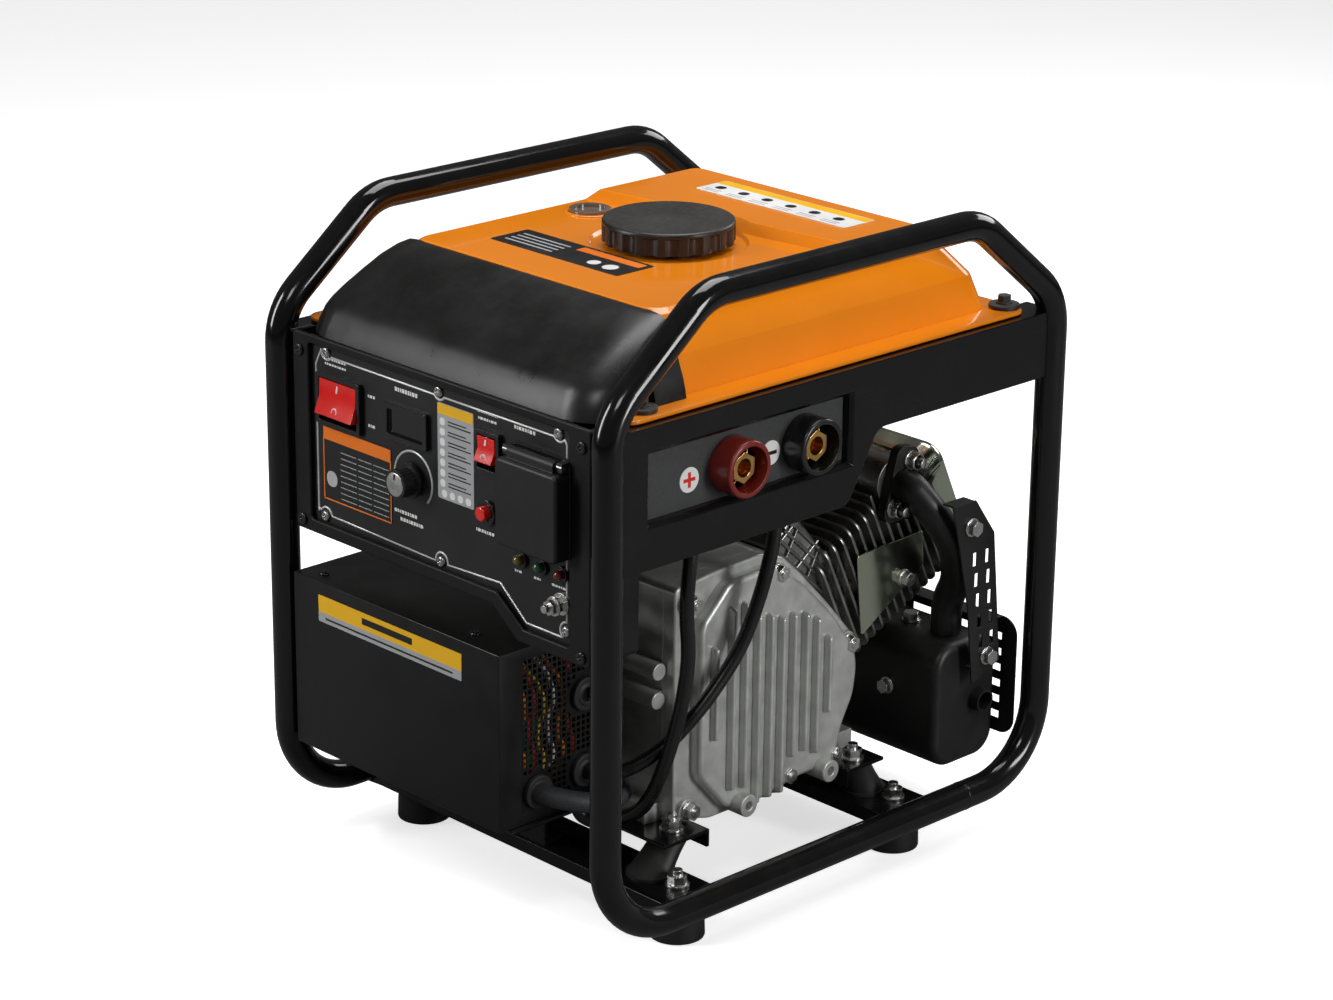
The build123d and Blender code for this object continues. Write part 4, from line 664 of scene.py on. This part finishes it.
def make_hood():
    """Moulded hood over the front of the tank, rounded at its corners and along its crest."""
    profile = (
        (407.0, 158.0, -222.0), (415, 156.7, -219.8), (424, 154.3, -215.5), (430, 151.8, -210.5), (437, 149.0, -201.0),
        (446, 145.6, -186.0), (455, 141.6, -170.0), (460.5, 137.5, -157.5), (464, 132.5, -147.0), (465, 129.0, -141.0),
    )
    hood = pressed_body([(z, side, front, -92) for z, side, front in profile], 34, 12)
    make_active(hood)
    bpy.ops.object.mode_set(mode="EDIT")
    bpy.ops.mesh.select_all(action="SELECT")
    bpy.ops.mesh.bisect(plane_co=at(0, -137, 430), plane_no=(0, 1, 0), clear_outer=True, use_fill=True)
    leave_edit()
    for side in (-1, 1):
        pocket = bar_piece((side * 156, -178, 404), (side * 156, -178, 429), 12.5, 48)
        apply_modifier(hood, "BOOLEAN", object=pocket, operation="DIFFERENCE", solver="EXACT")
        bpy.data.objects.remove(pocket)
    smooth(hood, 32)
    apply_modifier(hood, "WEIGHTED_NORMAL", keep_sharp=True)
    settle(hood, "hood_shell", "hood_satin", node="front_fascia")


# ---- control panel ----

PANEL_Y = -222.0


def scallop(x, z, radius, first, last):
    """Arc of the printed border round a screw, in degrees from the right."""
    steps = 10
    angles = [math.radians(first + (last - first) * step / steps) for step in range(steps + 1)]
    return [(x + radius * math.cos(angle), z + radius * math.sin(angle)) for angle in angles]


def print_words():
    """Small broken bars where the panel has its words."""
    y = PANEL_Y
    lines = (
        (-124, 391.5, 22, 1.6), (-126, 387.5, 24, 1.6), (-48, 386, 28, 3), (40, 392, 24, 1.8), (41, 387, 20, 1.8),
        (78, 389, 22, 2.6), (-50, 296, 42, 2.6), (-44, 290.5, 34, 2.6), (38, 305, 20, 2.2), (78, 286, 9, 1.6),
        (98, 286, 9, 1.6), (116, 286, 14, 1.6), (-78, 374, 9, 2), (-78, 352, 10, 2),
    )
    for row, (x, z, length, height) in enumerate(lines):
        start = x
        for word in range(9):
            width = 1.1 + 1.7 * ((row * 5 + word * 7) % 4) / 3
            if start + width > x + length:
                break
            front_plate(f"word_{row}_{word}", "print_white", start, start + width, z, z + height, y, 0.12, 0.15)
            start += width + 0.8


def panel_print():
    """Printed border, blank plates and dial ring of the control panel."""
    y = PANEL_Y
    notch = 6.5
    border = [(-136, 274)]
    border += [(-136, 386)] + scallop(-123.6, 397.5, notch, 180, 325) + scallop(0, 397, notch, 215, 325)
    border += scallop(123.5, 397, notch, 215, 325) + [(131, 390), (131, 266)] + scallop(131, 256.5, notch, 90, 235)
    border += [(124, 251), (90, 251), (63, 273)] + scallop(1, 271.8, notch, -10, 190)
    border += scallop(-127.7, 271.8, notch, 10, 150) + [(-136, 276)]
    ring = tube_along([(x, y + 0.35, z) for x, z in border], 1.0, 2, straight=True)
    settle(ring, "panel_border", "print_silver", node="control_panel")
    arc = []
    for step in range(25):
        angle = math.radians(-42 + step * 11)
        arc.append((-29 + 20.5 * math.cos(angle), y + 0.45, 325 + 20.5 * math.sin(angle)))
    dial = tube_along(arc, 1.1, 2)
    settle(dial, "dial_ring", "print_silver", node="control_panel")
    front_plate("rating_plate", "print_black", -129.5, -53, 285, 341, y, 0.3)
    front_plate("rating_band", "print_orange", -129, -53.5, 331, 340.5, y - 0.3, 0.2, 0.6)
    for row in range(9):
        z = 289 + row * 4.4
        for x0, x1 in ((-110, -92), (-90, -75), (-73, -56)):
            front_plate(f"rating_bar_{row}_{-x0}", "print_grey", x0, x1, z, z + 0.6, y - 0.3, 0.12, 0.1)
    for name, x0, x1, z0, z1 in (
        ("left", -129.4, -128.4, 285.6, 332), ("right", -54.2, -53.2, 285.6, 332),
        ("low", -129.4, -53.2, 285.2, 286.2),
    ):
        front_plate(f"rating_edge_{name}", "print_orange", x0, x1, z0, z1, y - 0.3, 0.15, 0.1)
    front_plate("rating_seal", "print_silver", -126, -114, 296, 308, y - 0.3, 0.12, 5.5)
    front_plate("notice_plate", "print_grey", -2, 36, 319, 389, y, 0.3)
    front_plate("notice_band", "print_yellow", -1.5, 35.5, 381, 388.5, y - 0.3, 0.2, 0.6)
    for row in range(7):
        z = 328 + row * 7.5
        front_plate(f"notice_sign_{row}", "print_white", 0.5, 6, z, z + 5.5, y - 0.3, 0.12, 2.2)
        for line in range(2):
            front_plate(f"notice_bar_{row}_{line}", "print_black", 9, 33 - line * 5, z + 1 + line * 2.4,
                        z + 1.9 + line * 2.4, y - 0.3, 0.12, 0.1)
    for step in range(4):
        x = 2 + step * 8.4
        front_plate(f"notice_seal_{step}", "print_white", x, x + 6, 320.5, 326, y - 0.3, 0.12, 2.6)


def switch_marks():
    """The plain on and off marks of the two rocker switches."""
    tilt = math.radians(-12)
    for name, x, z, half in (("weld", -108.2, 362.5, 8.5), ("power", 53.0, 365.8, 6.0)):
        node = name + "_switch_rocker"
        pivot = at(x, PANEL_Y + 6, z)
        line = box_piece(x - 0.7, x + 0.7, PANEL_Y - 6.1, PANEL_Y - 5.2, z + half - 3, z + half + 3)
        clear_selection()
        bpy.ops.mesh.primitive_torus_add(location=at(x, PANEL_Y - 5.4, z - half), rotation=(math.pi / 2, 0, 0),
                                         major_radius=2.6 * MM, minor_radius=0.6 * MM, major_segments=32,
                                         minor_segments=8)
        marks = join([line, bpy.context.object])
        make_active(marks)
        bpy.ops.object.transform_apply(location=True, rotation=True, scale=True)
        turn = Matrix.Translation(pivot) @ Matrix.Rotation(tilt, 4, "X") @ Matrix.Translation(-pivot)
        marks.matrix_world = turn @ marks.matrix_world
        settle(marks, name + "_switch_marks", "print_white", node=node)


def lamp_lenses():
    """Coloured domes in the three lamp holders."""
    for name, x, z in (("amber", 85.5, 296.6), ("green", 106.0, 297.0), ("red", 126.5, 297.0)):
        clear_selection()
        bpy.ops.mesh.primitive_uv_sphere_add(segments=32, ring_count=16, radius=3.9 * MM,
                                             location=at(x, PANEL_Y - 3.6, z))
        dome = bpy.context.object
        dome.scale = (1, 0.98, 1)
        smooth(dome)
        settle(dome, f"lamp_lens_{name}", f"lamp_{name}", node="indicator_lamps")


def knob_cap():
    """Bright metal cap pressed into the knob's front."""
    cap = bar_piece((-29, PANEL_Y - 16, 325), (-29, PANEL_Y - 17.6, 325), 8.8, 64)
    apply_modifier(cap, "BEVEL", width=0.5 * MM, segments=3, limit_method="ANGLE")
    smooth(cap)
    settle(cap, "knob_cap", "zinc", node="current_knob")
    pointer = box_piece(-29.8, -28.2, PANEL_Y - 17.9, PANEL_Y - 17.5, 328.5, 332.5)
    settle(pointer, "knob_pointer", "print_black", node="current_knob")


# ---- welding sockets ----

def socket_signs():
    """White discs with a plus and a minus beside the sockets."""
    plate_x = 170.0
    for name, y, z, colour in (("plus", -146, 358, "print_red"), ("minus", -67.5, 359.5, "print_black")):
        disc = bar_piece((plate_x - 0.3, y, z), (plate_x + 0.35, y, z), 9, 64)
        settle(disc, f"{name}_disc", "print_white", node="socket_plate")
        sign = box_piece(plate_x + 0.3, plate_x + 0.55, y - 5.5, y + 5.5, z - 1.3, z + 1.3)
        if name == "plus":
            sign = join([sign, box_piece(plate_x + 0.3, plate_x + 0.56, y - 1.3, y + 1.3, z - 5.5, z + 5.5)])
        settle(sign, f"{name}_sign", colour, node="socket_plate")


# ---- inverter case ----

CASE = {"x": (-157.0, 71.0), "y": (-231.0, -135.0), "z": (88.0, 223.0)}
GRILLE_Y = (-209.0, -139.5)
GRILLE_Z = (97.0, 214.0)
GROMMETS = ((-196.0, 111.0), (-151.0, 114.6), (-151.0, 173.5))


def make_case():
    """Folded cover with a window for the grille in each end, and the two perforated grilles."""
    x0, x1 = CASE["x"]
    y0, y1 = CASE["y"]
    z0, z1 = CASE["z"]
    case = box_piece(x0, x1, y0, y1, z0, z1)
    cut = box_piece(x0 - 5, x1 + 5, *GRILLE_Y, *GRILLE_Z)
    inside = box_piece(x0 + 1.5, x1 - 1.5, y0 + 1.5, y1 - 1.5, z0 + 1.5, z1 - 1.5)
    for cutter in (inside, cut):
        apply_modifier(case, "BOOLEAN", object=cutter, operation="DIFFERENCE", solver="EXACT")
        bpy.data.objects.remove(cutter)
    for y, z in GROMMETS:
        if y < GRILLE_Y[0] + 20:
            hole = bar_piece((x1 - 4, y, z), (x1 + 4, y, z), 8, 32)
            apply_modifier(case, "BOOLEAN", object=hole, operation="DIFFERENCE", solver="EXACT")
            bpy.data.objects.remove(hole)
    apply_modifier(case, "BEVEL", width=0.7 * MM, segments=3, limit_method="ANGLE", angle_limit=math.radians(35),
                   use_clamp_overlap=False)
    smooth(case)
    settle(case, "inverter_cover", "case_black", node="inverter_case", replaces=("inverter_case",))
    for name, x in (("left_grille", x0 + 0.2), ("right_grille", x1 - 1.2)):
        make_grille(name, x, keep_clear=(name == "right_grille"))


def make_grille(name, x, keep_clear):
    """Perforated sheet: a grid of square holes between narrow webs."""
    columns, rows = 15, 25
    clear_selection()
    bpy.ops.mesh.primitive_grid_add(x_subdivisions=columns, y_subdivisions=rows, size=1.0,
                                    location=at(x, sum(GRILLE_Y) / 2, sum(GRILLE_Z) / 2),
                                    rotation=(math.pi / 2, 0, math.pi / 2))
    grille = bpy.context.object
    grille.scale = ((GRILLE_Y[1] - GRILLE_Y[0]) * MM, (GRILLE_Z[1] - GRILLE_Z[0]) * MM, 1)
    make_active(grille)
    bpy.ops.object.transform_apply(location=True, rotation=True, scale=True)
    seats = [at(x, y, z) for y, z in GROMMETS] if keep_clear else []
    bpy.ops.object.mode_set(mode="EDIT")
    bpy.ops.mesh.select_all(action="SELECT")
    bpy.ops.mesh.inset(thickness=0.75 * MM, use_individual=True)
    bpy.ops.object.mode_set(mode="OBJECT")
    reach = 17 * MM
    chosen = [face.index for face in grille.data.polygons if face.select
              and all((face.center - seat).length > reach for seat in seats)]
    bpy.ops.object.mode_set(mode="EDIT")
    bpy.ops.mesh.select_mode(type="FACE")
    bpy.ops.mesh.select_all(action="DESELECT")
    bpy.ops.object.mode_set(mode="OBJECT")
    for index in chosen:
        grille.data.polygons[index].select = True
    bpy.ops.object.mode_set(mode="EDIT")
    bpy.ops.mesh.delete(type="FACE")
    bpy.ops.object.mode_set(mode="OBJECT")
    apply_modifier(grille, "SOLIDIFY", thickness=1.0 * MM, offset=1.0)
    settle(grille, name, "case_black", node="inverter_case")


def case_plate():
    """Blank plate on the case's front: a yellow head over a grey foot."""
    y = CASE["y"][0]
    front_plate("case_plate_head", "print_yellow", -128, 31.5, 200, 213, y, 0.3, 0.6, node="inverter_case")
    front_plate("case_plate_foot", "print_grey", -128, 31.5, 192.5, 200, y, 0.3, 0.6, node="inverter_case")
    front_plate("case_plate_bar", "print_black", -78, -22, 204, 209, y - 0.3, 0.15, 0.5, node="inverter_case")
    front_plate("case_plate_line", "print_black", -120, 22, 195.3, 196.7, y - 0.3, 0.15, 0.2, node="inverter_case")


def case_wires():
    """Loose wires that show through the right grille."""
    runs = (
        ("wire_orange", 0, 0), ("wire_red", 9, 6), ("wire_yellow", 18, -5), ("wire_white", 27, 4),
        ("wire_orange", 37, -3),
        ("wire_red", 46, 7),
    )
    for number, (colour, along, rise) in enumerate(runs):
        y = -202 + along
        points = [(20, y, 100), (52, y - 2, 106 + rise), (63, y + 5, 128), (58, y - 3, 150 + rise), (64, y + 4, 172),
                  (54, y, 196 + rise), (18, y + 2, 204)]
        wire = tube_along(points, 1.9, 3)
        smooth(wire)
        settle(wire, f"case_wire_{number}", colour, node="inverter_case")


# ---- engine ----

COVER_OUTLINE = (
    (-97, 66), (-80, 66), (-60, 60), (-20, 60), (20, 66), (66, 66), (73, 84), (75, 99), (88, 121), (91, 144),
    (89, 166), (60, 199), (30, 230), (12, 246), (-10, 254), (-60, 252), (-97, 248),
)
COVER_INSET = (
    (-80, 100), (-52, 68), (-20, 64), (20, 71), (60, 72), (66, 84), (70, 100), (82, 122), (85, 144),
    (82, 160), (56, 194), (26, 224), (8, 238), (-10, 247), (-52, 245), (-80, 218),
)
COVER_BOLTS = ((78.7, 163), (63.5, 78), (14.7, 75), (-86, 76), (-86, 236), (2, 238))
COVER_RIBS = (
    (-68, 128, 200), (-51, 84, 226), (-38, 82, 227), (-25, 66, 214), (-12, 67, 211), (0, 67, 206),
    (12, 92, 206), (25, 93, 203), (37, 88, 196), (50, 117, 178),
)


def outline_plate(points, x0, x1, corner, edge):
    """Plate of an outline of (y, z) places, with rounded corners and a rounded outer rim."""
    clear_selection()
    bpy.ops.mesh.primitive_circle_add(vertices=len(points), radius=0.1, fill_type="NGON")
    plate = bpy.context.object
    for vertex, (y, z) in zip(plate.data.vertices, points):
        vertex.co = at(x0, y, z)
    make_active(plate)
    bpy.ops.object.mode_set(mode="EDIT")
    bpy.ops.mesh.select_all(action="SELECT")
    bpy.ops.mesh.bevel(offset=corner * MM, segments=5, affect="VERTICES")
    bpy.ops.mesh.select_all(action="SELECT")
    bpy.ops.mesh.extrude_region_move(TRANSFORM_OT_translate={"value": ((x1 - x0) * MM, 0, 0)})
    leave_edit()
    outer = at(x1, 0, 0).x
    select_edges(plate, lambda one, other: min(one.x, other.x) > outer - 1e-5)
    bpy.ops.mesh.bevel(offset=edge * MM, segments=4)
    leave_edit()
    return plate


def make_rib(y, low, high):
    """One upright rib with a rounded crest that runs out into the cover at both ends."""
    rib = box_piece(112, 123.8, y - 2.7, y + 2.7, low - 3, high + 3)
    crest = at(123, 0, 0).x
    select_faces(rib, lambda centre, normal: normal.x > 0.9 and centre.x > crest)
    bpy.ops.transform.resize(value=(1, 0.72, (high - low - 2) / (high - low + 6)),
                             center_override=at(123.8, y, (low + high) / 2))
    leave_edit()
    select_edges(rib, lambda one, other: abs(one.x - other.x) > 1e-4 or min(one.x, other.x) > crest)
    bpy.ops.mesh.bevel(offset=1.7 * MM, segments=4)
    leave_edit()
    return rib


def make_boss(x0, x1, y, z, radius, bore, depth):
    """Round cast boss with a drilled hole."""
    boss = bar_piece((x0, y, z), (x1, y, z), radius, 40)
    outer = at(x1, 0, 0).x
    select_faces(boss, lambda centre, normal: normal.x > 0.9 and centre.x > outer - 1e-4)
    bpy.ops.mesh.inset(thickness=(radius - bore) * MM)
    bpy.ops.mesh.extrude_region_move(TRANSFORM_OT_translate={"value": (-depth * MM, 0, 0)})
    leave_edit()
    apply_modifier(boss, "BEVEL", width=0.9 * MM, segments=3, limit_method="ANGLE")
    return boss


def make_cover():
    """Cast cover: stepped plate, ten ribs, bolt seats and two drain bosses."""
    parts = [outline_plate(COVER_OUTLINE, 96, 107.9, 4, 2.0), outline_plate(COVER_INSET, 106, 117.9, 6, 4.0)]
    parts += [make_rib(*rib) for rib in COVER_RIBS]
    parts += [make_boss(103, 127.8, y, z, 8.6, 3.3, 9) for y, z in ((-38.5, 70), (47.9, 72))]
    parts += [make_boss(97, 111.9, y, z, 8.4, 3.0, 1) for y, z in COVER_BOLTS]
    cover = join(parts)
    smooth(cover, 40)
    apply_modifier(cover, "WEIGHTED_NORMAL", keep_sharp=True)
    settle(cover, "cast_cover", "cast_aluminium", node="crankcase_cover", replaces=("crankcase_cover",))


def flange_nuts_zinc():
    """Bright nuts and stud ends on the exhaust flange."""
    parts = []
    for y, z in ((131, 255), (149, 289)):
        parts.append(bar_piece((105.9, y, z), (107.8, y, z), 7.6, 32))
        parts.append(bar_piece((107.6, y, z), (114.4, y, z), 6.9, 6))
        parts.append(bar_piece((114, y, z), (120.2, y, z), 3.8, 24))
    nuts = join(parts)
    apply_modifier(nuts, "BEVEL", width=0.5 * MM, segments=2, limit_method="ANGLE")
    smooth(nuts, 40)
    settle(nuts, "exhaust_flange_nuts", "zinc", node="exhaust_pipe")


def cylinder_neck():
    """Cast shoulder under the first fins, with long thin ribs and short ones across."""
    parts = [outline_plate(((10, 248), (86, 182), (102, 196), (34, 272)), 58, 96, 5, 3)]
    for step in range(4):
        shift = step * 5.6
        low = (97, 86 + shift * 0.9, 184 + shift)
        parts.append(bar_piece((97, 12 + shift, 250 + shift), low, 1.5, 14))
    for step in range(7):
        share = step / 6
        y, z = 14 + 70 * share, 249 - 62 * share
        lean = 4 - 10 * (step % 2)
        parts.append(bar_piece((97, y, z), (97, y + 18 + lean, z + 18 - lean * 0.5), 1.3, 14))
    for y, z in ((30, 268), (62, 232), (94, 199)):
        parts.append(bar_piece((94, y, z), (101, y, z), 4.6, 28))
    neck = join(parts)
    smooth(neck, 40)
    settle(neck, "cylinder_neck", "fin_aluminium", node="cylinder")


def darken_screws():
    """Black oxide finish on the screws of the fascia and of the inverter's cover."""
    piece = bpy.data.objects["cover_screws_rounded"]
    piece.data.materials.append(MATERIALS["switch_black"])
    half = 140 * MM
    case_top = 240 * MM
    for face in piece.data.polygons:
        if abs(face.center.x - at(0, 0, 0).x) > half or face.center.z < case_top:
            face.material_index = 1


# ---- frame ----

def joint_ring():
    """Weld ring on the right base rail, where the tube's ends meet."""
    ring = bar_piece((173.6, 142, 38.2), (173.6, 145, 38.2), 11.25, 64)
    apply_modifier(ring, "BEVEL", width=0.7 * MM, segments=3, limit_method="ANGLE")
    smooth(ring)
    settle(ring, "right_hoop_joint", "frame_black", node="right_hoop")


ROUNDED_EDGES = {
    "left_side_rail": 0.8, "right_side_rail": 0.8, "front_cross_beam": 0.8, "rear_cross_beam": 0.8,
    "mount_brackets": 0.8, "rubber_feet": 1.2, "flange_nuts": 0.35, "tank_bolts": 0.35, "front_fascia": 1.2,
    "switch_bezels": 0.5, "weld_switch_rocker": 0.5, "power_switch_rocker": 0.5, "current_display": 0.5,
    "current_knob": 0.2, "reset_breaker": 0.4, "outlet_body": 0.5, "outlet_flap": 0.5, "indicator_lamps": 0.25,
    "ground_terminal": 0.3, "socket_inserts": 0.4, "positive_socket": 0.5, "negative_socket": 0.5,
    "cable_grommets": 0.8, "crankcase": 0.8, "engine_bolts": 0.35, "cylinder": 0.6,
    "air_guide": 0.5, "exhaust_guards": 0.5, "exhaust_pipe": 0.5, "cover_screws": 0.2, "inverter_tray": 0.6,
    "fuel_cap": 0.8,
}


def dress_cad_nodes():
    """Gives every CAD node the finish of its slot."""
    for node, piece in frame["nodes"].items():
        piece.data.materials.clear()
        piece.data.materials.append(MATERIALS[SLOT_OF[node]])


def build():
    """The whole scene."""
    make_finishes()
    add_camera()
    add_studio()
    dress_cad_nodes()
    for node, width in ROUNDED_EDGES.items():
        softened(node, width)
    make_tank()
    tank_labels()
    panel_print()
    switch_marks()
    lamp_lenses()
    knob_cap()
    socket_signs()
    make_case()
    case_plate()
    case_wires()
    joint_ring()
    make_hood()
    flange_nuts_zinc()
    make_cover()
    cylinder_neck()
    darken_screws()
    print_words()


build()
